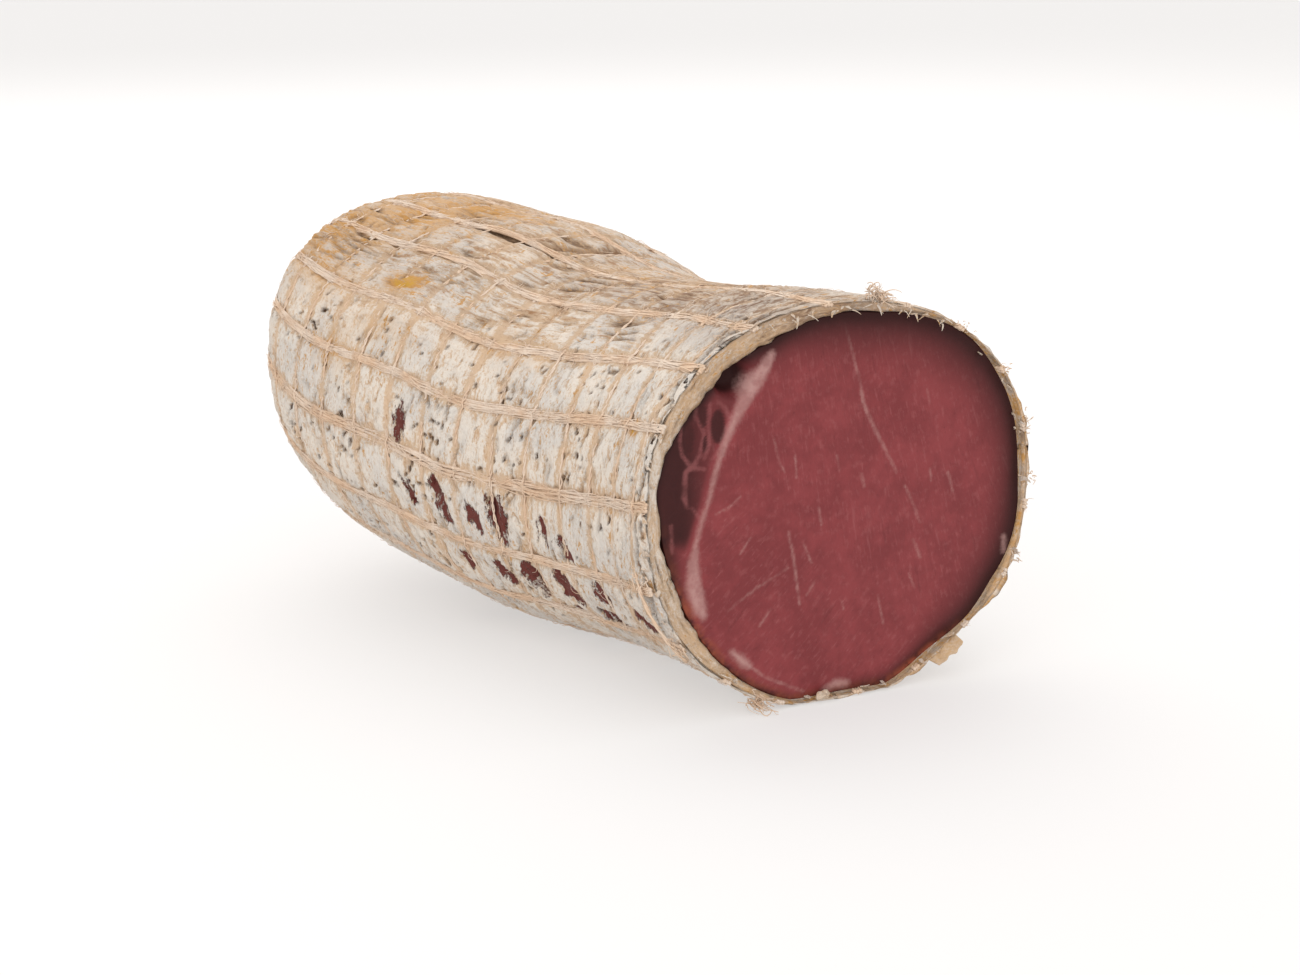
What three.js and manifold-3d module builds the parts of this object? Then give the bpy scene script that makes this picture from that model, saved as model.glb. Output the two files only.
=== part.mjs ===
// Half a bresaola: a salted, air-dried lean muscle of beef, cut straight across, in its
// natural casing and elastic tying net. It lies on its side with the cut face forward.
//
// Millimetres. x runs across, y from the cut face to the tied end, z up; the origin is the
// middle of the footprint. Every skin is worked out from one envelope, the surface that the
// tops of the net's cords touch, by sinking it a stated depth along its own normal.
import * as THREE from 'three';
import { mergeVertices } from 'three/addons/utils/BufferGeometryUtils.js';
import Module from 'manifold-3d';

const wasm = await Module();
wasm.setup();

// ---- driving dimensions ----
const LENGTH = 198;              // cut face to the crown of the rounded end
const CUT_SKEW = -0.19;          // the knife ran aslant: y gained for each mm of x
const SKEW_FADES_AT = 0.9;       // share of the length where the rings stand square
const ROUND_END_FROM = 0.6;      // share of the length where the rounded end begins
const ROUND_END_POWER = 2.8;     // superellipse power of the rounded end
const SECTION_POWER = 2.22;      // superellipse power of a cross-section
const SETTLE = 2.0;              // how far the underside has sagged flat where it lies

// Half width, crown height, underside height and sideways shift along the length.
const STATIONS = [
  { at: 0.00, halfWidth: 57.5, crown: 106.0, underside: 0.0, aside: 0.0 },
  { at: 0.15, halfWidth: 55.6, crown: 106.3, underside: 0.0, aside: 4.9 },
  { at: 0.30, halfWidth: 55.6, crown: 104.0, underside: 0.0, aside: 5.2 },
  { at: 0.45, halfWidth: 57.1, crown: 103.6, underside: 0.0, aside: 1.3 },
  { at: 0.60, halfWidth: 59.1, crown: 109.6, underside: 3.2, aside: -2.3 },
  { at: 0.75, halfWidth: 60.6, crown: 112.3, underside: 8.4, aside: -6.8 },
  { at: 0.90, halfWidth: 61.2, crown: 122.4, underside: 15.6, aside: -12.1 },
];

// Hollows pressed into the body: share of the length, angle round it, and reach of each.
const HOLLOWS = [
  { at: 0.31, spread: 0.25, angle: 63, reach: 36, depth: 6.2 },   // the far shoulder
  { at: 0.0, spread: 0.30, angle: 307, reach: 20, depth: 3.0 },   // under the far side
  { at: 0.05, spread: 0.40, angle: 243, reach: 20, depth: 1.6 },  // under the near side
  { at: 0.0, spread: 0.10, angle: 222, reach: 22, depth: 2.2 },   // the near corner of the cut
];

// Tying net.
const CORD_COUNT = 18;           // elastic cords that run lengthwise
const CORD_WIDTH = 2.8;
const CORD_RISE = 1.5;           // height of a cord above its underside
const RING_COUNT = 16;           // threads that run round
const RING_PITCH = 13;
const FIRST_RING = 6;            // distance of the first thread from the cut
const RING_WIDTH = 1.5;
const RING_DROP = 0.45;          // how far a thread's top lies below the cords' tops
const RING_PLAY = 0.8;           // how far a thread strays from its even place
const TOP_SHARE = 0.6;           // width of a strand's top as a share of its foot
const CORD_SWAY = 1.6;           // degrees that a cord strays from its even place
const FRONT_TWIST = -6;          // degrees that the cords drift round near the cut
const TWIST_FADES_AT = 0.3;
const GATHER_AT = 219;           // distance along the skin where the cords run together
const GATHER_RADIUS = 15;        // cords narrow within this distance of the tied end
const OVERHANG = 0.5;            // how far the cut cords stand past the casing, on average
const OVERHANG_PLAY = 0.35;

// The gathered neck of the net, above the crown of the rounded end.
const NECK = [
  { radius: 6.2, height: 2.6 },
  { radius: 3.9, height: 4.2 },
  { radius: 5.4, height: 6.6 },
  { radius: 4.6, height: 9.4 },
];
const FLUTE_DEPTH = 0.1;         // depth of the neck's pleats as a share of its radius

// The first thread's loose end, which leaves its ring and hangs over the edge of the casing:
// distance from the cut, angle round the body and depth below the cords' tops.
const LOOSE_RADIUS = 0.6;
const LOOSE_END = [
  { distance: 6.0, angle: 189, depth: 0.9 },
  { distance: 4.4, angle: 191, depth: 0.3 },
  { distance: 2.2, angle: 195, depth: -0.8 },
  { distance: 0.7, angle: 203, depth: -0.9 },
  { distance: 0.4, angle: 212, depth: -0.9 },
  { distance: 2.4, angle: 221, depth: -0.8 },
];

// Casing and meat, as depths below the envelope.
const TOUCH_GAP = 0.4;           // between pieces that touch
const GROOVE_DEPTH = CORD_RISE + 0.5;
const PILLOW_RISE = 1.4;         // crown of the casing in a mesh of the net, above its grooves
const PILLOW_SLOPE = 0.14;       // steepest rise from a cord to that crown
const PILLOW_PLAY = 0.35;        // how uneven the crowns are
const CASING_THICKNESS = 1.35;
const CASING_INSIDE = GROOVE_DEPTH + CASING_THICKNESS;
const MEAT_DEPTH = CASING_INSIDE + TOUCH_GAP;
const MEAT_RECESS = 1.0;         // the dried face stands back from the casing's edge
const CRACK_AT = 3;              // the casing has split along a line behind its edge
const CRACK_WIDTH = 1.8;
const CRACK_DEPTH = 0.8;         // below the floor of the grooves
const CRACK_LIP = 0.2;           // height of the split's rear lip above the grooves
const EDGE_WAVE = 0.9;           // ragged edge of the casing

// At the near side of the cut the casing has folded in over the shrunken meat: angle round the
// body, reach and extra depth of each fold, which fade out this far behind the cut.
const FOLDS = [
  { angle: 138, reach: 32, depth: 4.6 },
  { angle: 205, reach: 32, depth: 5.5 },
];
const FOLD_LENGTH = 12.5;

// A tongue of casing that has peeled out between two cords at the lower far side of the cut.
const FLAP = { cord: 15, halfWidth: 6.2, root: 4, forward: 2.4, outward: 1.6, thickness: 1.1 };
const FLAP_TAPER = 0.25;
const FLAP_RAGGED = 0.08;

// A pocket where meat and casing have come apart at the upper near side of the cut.
const POCKET = { angle: 127, inward: 2.5, radii: [5.5, 7.5, 5.0] };

const COLUMNS = CORD_COUNT * 2;  // skins have a column at each cord and one between
const degrees = THREE.MathUtils.degToRad;

// What varies without a rule; each topic has repeatable draws of its own.
const TOPICS = ['sway', 'swayStart', 'ringPlace', 'ringWave', 'edge', 'pillow', 'overhang', 'flap'];
const DRAWS_EACH = 1000;

/** A repeatable number from -1 to 1 for a topic and a whole number. */
function uneven(topic, number) {
  const seed = TOPICS.indexOf(topic) * DRAWS_EACH + number + 1;
  return 2 * THREE.MathUtils.seededRandom(seed) - 1;
}

/** A signed power, for superellipses. */
function signedPower(value, power) {
  return Math.sign(value) * Math.pow(Math.abs(value), power);
}

/** A bell curve of unit height. */
function bell(offset, spread) {
  return Math.exp(-((offset / spread) ** 2));
}

/** The difference between two angles, from -PI to PI. */
function turnBetween(angle, other) {
  return Math.atan2(Math.sin(angle - other), Math.cos(angle - other));
}

// ---- the envelope ----
const outline = new THREE.CubicInterpolant(
  STATIONS.map((station) => station.at),
  STATIONS.flatMap((s) => [s.halfWidth, s.crown, s.underside, s.aside]),
  4,
);

/** Sizes of the cross-section at a share of the length, 0 at the cut and 1 at the tip. */
function sectionAt(share) {
  const last = STATIONS[STATIONS.length - 1].at;
  const [halfWidth, crown, underside, aside] = outline.evaluate(Math.min(share, last));
  const into = Math.max(0, (share - ROUND_END_FROM) / (1 - ROUND_END_FROM));
  const closing = Math.pow(Math.max(0, 1 - into ** ROUND_END_POWER), 1 / ROUND_END_POWER);
  const sag = SETTLE * (1 - THREE.MathUtils.smoothstep(share, 0.45, 0.7));
  return {
    fullWidth: halfWidth,
    halfWidth: halfWidth * closing,
    halfHeight: ((crown - underside + sag) / 2) * closing,
    middle: (crown + underside - sag) / 2,
    aside,
  };
}

/** The point of the envelope at a share of the length and an angle round it. */
function envelopePoint(share, angle) {
  const section = sectionAt(share);
  let pressed = 0;
  for (const hollow of HOLLOWS) {
    const round = bell(turnBetween(angle, degrees(hollow.angle)), degrees(hollow.reach));
    pressed += hollow.depth * round * bell(share - hollow.at, hollow.spread);
  }
  const shrink = 1 - pressed / section.fullWidth;
  const power = 2 / SECTION_POWER;
  const x = section.aside + section.halfWidth * shrink * signedPower(Math.cos(angle), power);
  const z = section.middle + section.halfHeight * shrink * signedPower(Math.sin(angle), power);
  const skew = CUT_SKEW * Math.max(0, 1 - share / SKEW_FADES_AT);
  return new THREE.Vector3(x, share * LENGTH + skew * x, Math.max(0, z));
}

/** Share of the length for an even step from the cut to the tip, with the end well covered. */
function shareOfStep(step) {
  if (step < 0.5) return ROUND_END_FROM * 2 * step;
  const bend = Math.sin((step - 0.5) * Math.PI) ** (2 / ROUND_END_POWER);
  return ROUND_END_FROM + (1 - ROUND_END_FROM) * bend;
}

// Distances along the near side of the skin, and the share of the length at each.
const MEASURE_STEPS = 400;
const measured = [{ distance: 0, share: 0 }];
for (let step = 1; step <= MEASURE_STEPS; step++) {
  const before = measured[step - 1];
  const share = shareOfStep(step / MEASURE_STEPS);
  const walked = envelopePoint(share, Math.PI).distanceTo(envelopePoint(before.share, Math.PI));
  measured.push({ distance: before.distance + walked, share });
}
const SKIN_LENGTH = measured[MEASURE_STEPS].distance;
const TIP_REACH = 1;             // closer to the tip than this, a point is the tip itself

/** Share of the length at a distance walked along the skin from the cut. */
function shareAt(distance) {
  const next = measured.findIndex((mark) => mark.distance >= distance);
  if (next <= 0) return next < 0 ? 1 : 0;
  const [low, high] = [measured[next - 1], measured[next]];
  const part = (distance - low.distance) / (high.distance - low.distance);
  return THREE.MathUtils.lerp(low.share, high.share, part);
}

/** Outward normal of the envelope, at a distance along the skin and an angle round it. */
function envelopeNormal(distance, angle) {
  const turn = 0.03;
  const step = 0.6;
  const share = shareAt(distance);
  const round = envelopePoint(share, angle + turn).sub(envelopePoint(share, angle - turn));
  const ahead = envelopePoint(shareAt(Math.min(distance + step, SKIN_LENGTH - step)), angle);
  const along = ahead.sub(envelopePoint(shareAt(Math.max(distance - 2 * step, 0)), angle));
  return along.cross(round).normalize();
}

/** A point sunk below the envelope, by distance along the skin; before the cut it runs on. */
function sunk(distance, angle, depth) {
  if (distance > SKIN_LENGTH - TIP_REACH) return envelopePoint(1, 0).setY(LENGTH - depth);
  const onSkin = Math.max(0, distance);
  const point = envelopePoint(shareAt(onSkin), angle);
  point.addScaledVector(envelopeNormal(onSkin, angle), -depth);
  point.y += Math.min(0, distance);
  point.z = Math.max(0, point.z);
  return point;
}

/** The cutting plane's y at a given x. */
function cutAt(x) {
  return CUT_SKEW * x;
}

// ---- a small builder of closed facets ----
class Facets {
  constructor() {
    this.points = [];
    this.corners = [];
  }

  /** Adds a point and returns its number. */
  point(vector) {
    this.points.push(vector.x, vector.y, vector.z);
    return this.points.length / 3 - 1;
  }

  triangle(a, b, c) {
    this.corners.push(a, b, c);
  }

  quad(a, b, c, d) {
    this.corners.push(a, b, c, a, c, d);
  }

  /** Adds rows of points; each row is closed on itself. */
  rows(rowsOfPoints) {
    return rowsOfPoints.map((row) => row.map((vector) => this.point(vector)));
  }

  /** Joins two rows of as many points; the diagonals lie alike whichever way it faces. */
  band(row, next, facesOut = true) {
    row.forEach((corner, column) => {
      const beside = (column + 1) % row.length;
      if (facesOut) this.quad(corner, next[column], next[beside], row[beside]);
      else this.quad(corner, row[beside], next[beside], next[column]);
    });
  }

  /** Joins a row to one point; the order of the two says which way the fan faces. */
  fan(row, apex, facesForward) {
    row.forEach((corner, column) => {
      const beside = row[(column + 1) % row.length];
      if (facesForward) this.triangle(apex, corner, beside);
      else this.triangle(corner, apex, beside);
    });
  }

  geometry() {
    const geometry = new THREE.BufferGeometry();
    geometry.setAttribute('position', new THREE.Float32BufferAttribute(this.points, 3));
    geometry.setIndex(this.corners);
    return geometry;
  }
}

// ---- joining and cutting solids ----
function toSolid(geometry) {
  const bare = geometry.clone();
  bare.deleteAttribute('normal');
  bare.deleteAttribute('uv');
  const merged = mergeVertices(bare, 1e-4);
  return new wasm.Manifold(new wasm.Mesh({
    numProp: 3,
    vertProperties: new Float32Array(merged.attributes.position.array),
    triVerts: new Uint32Array(merged.index.array),
  }));
}

function toGeometry(solid) {
  const mesh = solid.getMesh();
  const geometry = new THREE.BufferGeometry();
  geometry.setAttribute('position', new THREE.Float32BufferAttribute(mesh.vertProperties, 3));
  geometry.setIndex(Array.from(mesh.triVerts));
  return geometry;
}

// ---- where the net's strands lie ----

/** Angle of a cord at a share of the length. */
function cordAngle(cord, share) {
  const drift = FRONT_TWIST * Math.max(0, 1 - share / TWIST_FADES_AT) ** 2;
  const wave = Math.sin(1.6 * Math.PI * (share + uneven('swayStart', cord)));
  const sway = CORD_SWAY * uneven('sway', cord) * wave;
  return degrees((360 / CORD_COUNT) * cord + drift + sway);
}

/** Distance of a ring thread from the cut, at an angle round the body. */
function ringDistance(ring, angle) {
  const even = FIRST_RING + RING_PITCH * ring;
  if (ring === 0) return even;
  const wave = Math.sin(2 * angle + 3 * Math.PI * uneven('ringWave', ring));
  return even + RING_PLAY * (uneven('ringPlace', ring) + wave);
}

/** Angle of a column at a distance from the cut: even ones are cords, odd ones lie between. */
function columnAngle(column, distance) {
  const share = shareAt(Math.max(0, distance));
  const cord = Math.floor(column / 2);
  const angle = cordAngle(cord, share);
  if (column % 2 === 0) return angle;
  const beside = (cord + 1) % CORD_COUNT;
  return angle + turnBetween(cordAngle(beside, share), angle) / 2;
}

/** Where a ring crosses a column. */
function crossing(ring, column) {
  const angle = columnAngle(column, FIRST_RING + RING_PITCH * ring);
  return { angle, distance: ringDistance(ring, angle) };
}

/** Half the angle that a strand of this width takes up. */
function halfAngle(width, distance, angle) {
  const share = shareAt(Math.max(0, distance));
  const step = 0.05;
  const chord = envelopePoint(share, angle + step).distanceTo(envelopePoint(share, angle - step));
  return (width * step) / chord;
}

/** Depth of the casing in the middle of a mesh; a narrow mesh bulges less than a wide one. */
function pillowDepth(distance, angle) {
  const halfMesh = Math.PI / CORD_COUNT / (2 * halfAngle(1, distance, angle));
  return GROOVE_DEPTH - Math.min(PILLOW_RISE, PILLOW_SLOPE * halfMesh);
}

/** Width of a cord, which draws in where the cords are gathered. */
function cordWidthAt(distance) {
  const left = SKIN_LENGTH - distance;
  return CORD_WIDTH * Math.min(1, left / GATHER_RADIUS);
}

// ---- skins in rows ----

/** A row of the skin: one point for each column. */
function rowOf(place) {
  return Array.from({ length: COLUMNS }, (_, column) => place(column));
}

const LAST_ROW_TO_TIP = 6;
const skinDistances = [];
for (let ring = 0; ring < RING_COUNT; ring++) {
  const sparse = ring < RING_COUNT / 2 && ring % 2 === 1;
  if (!sparse) skinDistances.push(FIRST_RING + RING_PITCH * (ring + 0.5));
}
skinDistances.push(SKIN_LENGTH - LAST_ROW_TO_TIP);

/** How much deeper the folds at the cut lie, at a distance along the skin and an angle. */
function foldDepth(distance, angle) {
  const share = Math.max(0, 1 - distance / FOLD_LENGTH);
  let depth = 0;
  for (const fold of FOLDS) {
    depth += fold.depth * bell(turnBetween(angle, degrees(fold.angle)), degrees(fold.reach));
  }
  return depth * share;
}

/** Rows of a smooth skin at one depth, from a start near the cut to the tied end. */
function smoothRows(depth, start) {
  return [start, ...skinDistances].map((distance) => rowOf((column) => {
    const angle = degrees((360 / COLUMNS) * column);
    return sunk(distance, angle, depth + foldDepth(distance, angle));
  }));
}

// ---- meat ----

/** The lean muscle, with its flat cut face. */
function meatGeometry() {
  const facets = new Facets();
  const rows = smoothRows(MEAT_DEPTH, MEAT_RECESS);
  rows[0].forEach((point) => {
    point.y = cutAt(point.x) + MEAT_RECESS;
  });
  const middle = new THREE.Vector3();
  rows[0].forEach((point) => middle.addScaledVector(point, 1 / COLUMNS));
  const rings = facets.rows(rows);
  rings.slice(1).forEach((ring, index) => facets.band(rings[index], ring));
  facets.fan(rings[0], facets.point(middle), true);
  const tip = facets.point(sunk(SKIN_LENGTH, 0, MEAT_DEPTH));
  facets.fan(rings[rings.length - 1], tip, false);

  const pocket = new THREE.SphereGeometry(1, 14, 8);
  pocket.scale(...POCKET.radii);
  const angle = degrees(POCKET.angle);
  const place = sunk(0, angle, MEAT_DEPTH + foldDepth(0, angle) + POCKET.inward);
  pocket.translate(place.x, cutAt(place.x) + MEAT_RECESS, place.z);
  return toGeometry(toSolid(facets.geometry()).subtract(toSolid(pocket)));
}

// ---- casing ----

/** The crown of the casing in the mesh after a ring, at a column between two cords. */
function pillowCrown(ring, column) {
  const [before, after] = [crossing(ring, column), crossing(ring + 1, column)];
  const angle = before.angle + turnBetween(after.angle, before.angle) / 2;
  const distance = (before.distance + after.distance) / 2;
  const sink = (PILLOW_PLAY / 2) * (uneven('pillow', ring * COLUMNS + column) + 1);
  return sunk(distance, angle, Math.min(GROOVE_DEPTH, pillowDepth(distance, angle) + sink));
}

/** Rows of the casing's outside: a groove under each strand, a pillow in each mesh. */
function pillowRows() {
  const isCord = (column) => column % 2 === 0;
  const crownAt = (column, distance) => {
    const angle = columnAngle(column, distance);
    return isCord(column) ? GROOVE_DEPTH : pillowDepth(distance, angle);
  };
  const edge = rowOf((column) => {
    const point = sunk(0, columnAngle(column, 0), crownAt(column, 0));
    point.y = cutAt(point.x) + (EDGE_WAVE / 2) * (uneven('edge', column) - 1);
    return point;
  });
  const frontLip = { distance: CRACK_AT - CRACK_WIDTH / 2, rise: PILLOW_RISE - CRACK_LIP };
  const bottom = { distance: CRACK_AT, rise: -CRACK_DEPTH };
  const rearLip = { distance: CRACK_AT + CRACK_WIDTH / 2, rise: CRACK_LIP };
  const crack = [frontLip, bottom, rearLip].map(({ distance, rise }) => rowOf((column) => {
    const depth = Math.max(crownAt(column, distance), GROOVE_DEPTH - rise);
    return sunk(distance, columnAngle(column, distance), depth);
  }));

  const rows = [edge, ...crack];
  for (let ring = 0; ring < RING_COUNT; ring++) {
    const groove = rowOf((column) => {
      const { angle, distance } = crossing(ring, column);
      return sunk(distance, angle, GROOVE_DEPTH);
    });
    if (ring > 0) {
      const last = rows[rows.length - 1];
      rows.push(rowOf((column) => {
        if (isCord(column)) return last[column].clone().lerp(groove[column], 0.5);
        return pillowCrown(ring - 1, column);
      }));
    }
    rows.push(groove);
  }
  rows.push(rowOf((column) => sunk(GATHER_AT, columnAngle(column, GATHER_AT), GROOVE_DEPTH)));
  return rows;
}

/** The casing: a thin sleeve round the meat, closed at the tied end, open at the cut. */
function casingGeometry() {
  const facets = new Facets();
  const outside = facets.rows(pillowRows());
  outside.slice(1).forEach((row, index) => facets.band(outside[index], row));
  facets.fan(outside[outside.length - 1], facets.point(sunk(SKIN_LENGTH, 0, GROOVE_DEPTH)), false);

  const inner = smoothRows(CASING_INSIDE, 0);
  inner[0].forEach((point) => {
    point.y = cutAt(point.x);
  });
  const inside = facets.rows(inner);
  inside.slice(1).forEach((row, index) => facets.band(inside[index], row, false));
  facets.fan(inside[inside.length - 1], facets.point(sunk(SKIN_LENGTH, 0, CASING_INSIDE)), true);
  facets.band(inside[0], outside[0]);
  return toGeometry(toSolid(facets.geometry()).add(toSolid(flapGeometry())));
}

/** The peeled tongue: a thin curled sheet from behind the edge to its ragged tip. */
function flapGeometry() {
  const facets = new Facets();
  const { angle } = crossing(0, FLAP.cord * 2 + 1);
  const across = [-1, -0.5, 0, 0.5, 1];
  const along = [0, 0.45, 0.8, 1];
  const sheet = (lift) => along.map((reach, row) => across.map((side, column) => {
    const ragged = FLAP_RAGGED * uneven('flap', row * across.length + column);
    const narrow = 1 - FLAP_TAPER * reach + ragged;
    const forward = FLAP.forward * (1 - FLAP_TAPER * side * side);
    const distance = THREE.MathUtils.lerp(FLAP.root, -forward, reach);
    const turn = side * narrow * halfAngle(2 * FLAP.halfWidth, distance, angle);
    const depth = THREE.MathUtils.lerp(GROOVE_DEPTH, -FLAP.outward, reach ** 1.6);
    return sunk(distance, angle + turn, depth - lift);
  }));
  const above = facets.rows(sheet(FLAP.thickness));
  const below = facets.rows(sheet(0));
  const rim = [];
  for (let row = 0; row < along.length; row++) rim.push([row, 0]);
  for (let column = 1; column < across.length; column++) rim.push([along.length - 1, column]);
  for (let row = along.length - 2; row >= 0; row--) rim.push([row, across.length - 1]);
  for (let column = across.length - 2; column > 0; column--) rim.push([0, column]);
  for (let row = 1; row < along.length; row++) {
    for (let column = 1; column < across.length; column++) {
      const corners = [[row, column - 1], [row - 1, column - 1], [row - 1, column], [row, column]];
      facets.quad(...corners.map(([r, c]) => above[r][c]));
      facets.quad(...corners.reverse().map(([r, c]) => below[r][c]));
    }
  }
  rim.forEach(([row, column], index) => {
    const [nextRow, nextColumn] = rim[(index + 1) % rim.length];
    const [a, b] = [above[row][column], above[nextRow][nextColumn]];
    facets.quad(a, b, below[nextRow][nextColumn], below[row][column]);
  });
  return facets.geometry();
}

// ---- net ----

/** The four corners of a strand's section, foot and top on both sides. */
function strandCorners(facets, places, drop) {
  const [low, high] = places;
  const middle = {
    distance: (low.distance + high.distance) / 2,
    angle: low.angle + turnBetween(high.angle, low.angle) / 2,
  };
  const corner = (place, share, depth) => {
    const distance = THREE.MathUtils.lerp(middle.distance, place.distance, share);
    const angle = middle.angle + turnBetween(place.angle, middle.angle) * share;
    return facets.point(sunk(distance, angle, depth));
  };
  return {
    foot: [corner(low, 1, CORD_RISE), corner(high, 1, CORD_RISE)],
    top: [corner(low, TOP_SHARE, drop), corner(high, TOP_SHARE, drop)],
  };
}

/** A section across a cord at one distance: its low and high sides by angle. */
function cordSection(facets, cord, distance, drop) {
  const angle = columnAngle(cord * 2, distance);
  const half = halfAngle(cordWidthAt(distance), distance, angle);
  return strandCorners(facets, [
    { distance, angle: angle - half },
    { distance, angle: angle + half },
  ], drop);
}

/** A section across a ring thread midway between two cords: its near and far sides. */
function ringSection(facets, ring, column) {
  const { angle, distance } = crossing(ring, column);
  return strandCorners(facets, [
    { distance: distance - RING_WIDTH / 2, angle },
    { distance: distance + RING_WIDTH / 2, angle },
  ], RING_DROP);
}

/** The knot of a crossing: a patch as wide as the cord and as long as the ring is wide. */
function crossingPatch(facets, ring, cord) {
  const { angle, distance } = crossing(ring, cord * 2);
  const half = halfAngle(cordWidthAt(distance), distance, angle);
  const corner = (side, end, share, depth) => {
    const place = distance + end * share * (RING_WIDTH / 2);
    return facets.point(sunk(place, angle + side * share * half, depth));
  };
  const patch = (share, depth) => ({
    nearLow: corner(-1, -1, share, depth),
    farLow: corner(-1, 1, share, depth),
    farHigh: corner(1, 1, share, depth),
    nearHigh: corner(1, -1, share, depth),
  });
  const foot = patch(1, CORD_RISE);
  const top = patch(TOP_SHARE, 0);
  facets.quad(top.nearLow, top.farLow, top.farHigh, top.nearHigh);
  facets.quad(foot.nearLow, foot.nearHigh, foot.farHigh, foot.farLow);
  return {
    near: { foot: [foot.nearLow, foot.nearHigh], top: [top.nearLow, top.nearHigh] },
    far: { foot: [foot.farLow, foot.farHigh], top: [top.farLow, top.farHigh] },
    low: { foot: [foot.nearLow, foot.farLow], top: [top.nearLow, top.farLow] },
    high: { foot: [foot.nearHigh, foot.farHigh], top: [top.nearHigh, top.farHigh] },
  };
}

/** A stretch of cord from one section to the next towards the tied end. */
function cordStretch(facets, from, to) {
  facets.quad(from.top[0], to.top[0], to.top[1], from.top[1]);
  facets.quad(from.foot[0], from.foot[1], to.foot[1], to.foot[0]);
  facets.quad(from.foot[0], to.foot[0], to.top[0], from.top[0]);
  facets.quad(from.foot[1], from.top[1], to.top[1], to.foot[1]);
}

/** A stretch of ring thread from one section to the next round the body. */
function ringStretch(facets, from, to) {
  facets.quad(from.top[0], from.top[1], to.top[1], to.top[0]);
  facets.quad(from.foot[0], to.foot[0], to.foot[1], from.foot[1]);
  facets.quad(from.foot[0], from.top[0], to.top[0], to.foot[0]);
  facets.quad(from.foot[1], to.foot[1], to.top[1], from.top[1]);
}

/** The cords' gathered ends: a fluted neck pinched by its tie, and the tuft beyond it. */
function tieEnds(facets, ends) {
  const foot = ends.flatMap((end) => end.foot);
  const top = ends.flatMap((end) => end.top);
  ends.forEach((end, cord) => {
    const beside = ends[(cord + 1) % CORD_COUNT];
    facets.quad(end.foot[1], end.top[1], beside.top[0], beside.foot[0]);
  });
  facets.fan(foot, facets.point(sunk(SKIN_LENGTH, 0, CORD_RISE)), true);
  const tip = sunk(SKIN_LENGTH, 0, 0);
  let row = top;
  for (const { radius, height } of NECK) {
    const next = top.map((corner, index) => {
      const [x, z] = [facets.points[corner * 3] - tip.x, facets.points[corner * 3 + 2] - tip.z];
      const flute = radius * (1 + FLUTE_DEPTH * Math.cos(Math.PI * Math.floor(index / 2)));
      const scale = flute / Math.hypot(x, z);
      return facets.point(new THREE.Vector3(tip.x + x * scale, tip.y + height, tip.z + z * scale));
    });
    facets.band(row, next);
    row = next;
  }
  const crown = new THREE.Vector3(tip.x, tip.y + NECK[NECK.length - 1].height, tip.z);
  facets.fan(row, facets.point(crown), false);
}

/** The net: cords and ring threads in one piece, tied together at the rounded end. */
function latticeGeometry() {
  const facets = new Facets();
  const patches = [];
  for (let ring = 0; ring < RING_COUNT; ring++) {
    const row = [];
    for (let cord = 0; cord < CORD_COUNT; cord++) row.push(crossingPatch(facets, ring, cord));
    patches.push(row);
  }
  const ends = [];
  for (let cord = 0; cord < CORD_COUNT; cord++) {
    const overhang = OVERHANG + OVERHANG_PLAY * uneven('overhang', cord);
    const start = cordSection(facets, cord, -overhang, 0);
    facets.quad(start.foot[0], start.top[0], start.top[1], start.foot[1]);
    cordStretch(facets, start, patches[0][cord].near);
    for (let ring = 1; ring < RING_COUNT; ring++) {
      cordStretch(facets, patches[ring - 1][cord].far, patches[ring][cord].near);
    }
    ends.push(cordSection(facets, cord, GATHER_AT, 0));
    cordStretch(facets, patches[RING_COUNT - 1][cord].far, ends[cord]);
  }
  tieEnds(facets, ends);
  for (let ring = 0; ring < RING_COUNT; ring++) {
    for (let cord = 0; cord < CORD_COUNT; cord++) {
      const middle = ringSection(facets, ring, cord * 2 + 1);
      ringStretch(facets, patches[ring][cord].high, middle);
      ringStretch(facets, middle, patches[ring][(cord + 1) % CORD_COUNT].low);
    }
  }
  return facets.geometry();
}

/** The first thread's loose end, a round strand that lies on the casing. */
function looseEndGeometry() {
  const section = new THREE.Shape();
  section.absarc(0, 0, LOOSE_RADIUS, 0, Math.PI * 2, false);
  const path = new THREE.CatmullRomCurve3(
    LOOSE_END.map(({ distance, angle, depth }) => sunk(distance, degrees(angle), depth)),
  );
  return new THREE.ExtrudeGeometry(section, {
    steps: 12,
    curveSegments: 3,
    bevelEnabled: false,
    extrudePath: path,
  });
}

/** The whole net as one solid. */
function netGeometry() {
  return toGeometry(toSolid(latticeGeometry()).add(toSolid(looseEndGeometry())));
}

// ---- the part ----
const finishes = {
  meat: new THREE.MeshStandardMaterial({ color: 0x904a4b, roughness: 0.5, metalness: 0 }),
  casing: new THREE.MeshStandardMaterial({ color: 0xcdb89f, roughness: 0.9, metalness: 0 }),
  net: new THREE.MeshStandardMaterial({ color: 0xdcbc9c, roughness: 0.95, metalness: 0 }),
};

const pieces = {
  meat: meatGeometry(),
  casing: casingGeometry(),
  net: netGeometry(),
};

// The origin goes to the middle of the footprint.
const reach = new THREE.Box3();
for (const geometry of Object.values(pieces)) {
  geometry.computeBoundingBox();
  reach.union(geometry.boundingBox);
}
const footprint = reach.getCenter(new THREE.Vector3()).setZ(reach.min.z);

const part = new THREE.Group();
for (const [name, geometry] of Object.entries(pieces)) {
  geometry.translate(-footprint.x, -footprint.y, -footprint.z);
  const mesh = new THREE.Mesh(geometry, finishes[name]);
  mesh.name = name;
  part.add(mesh);
}

export default part;
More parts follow.
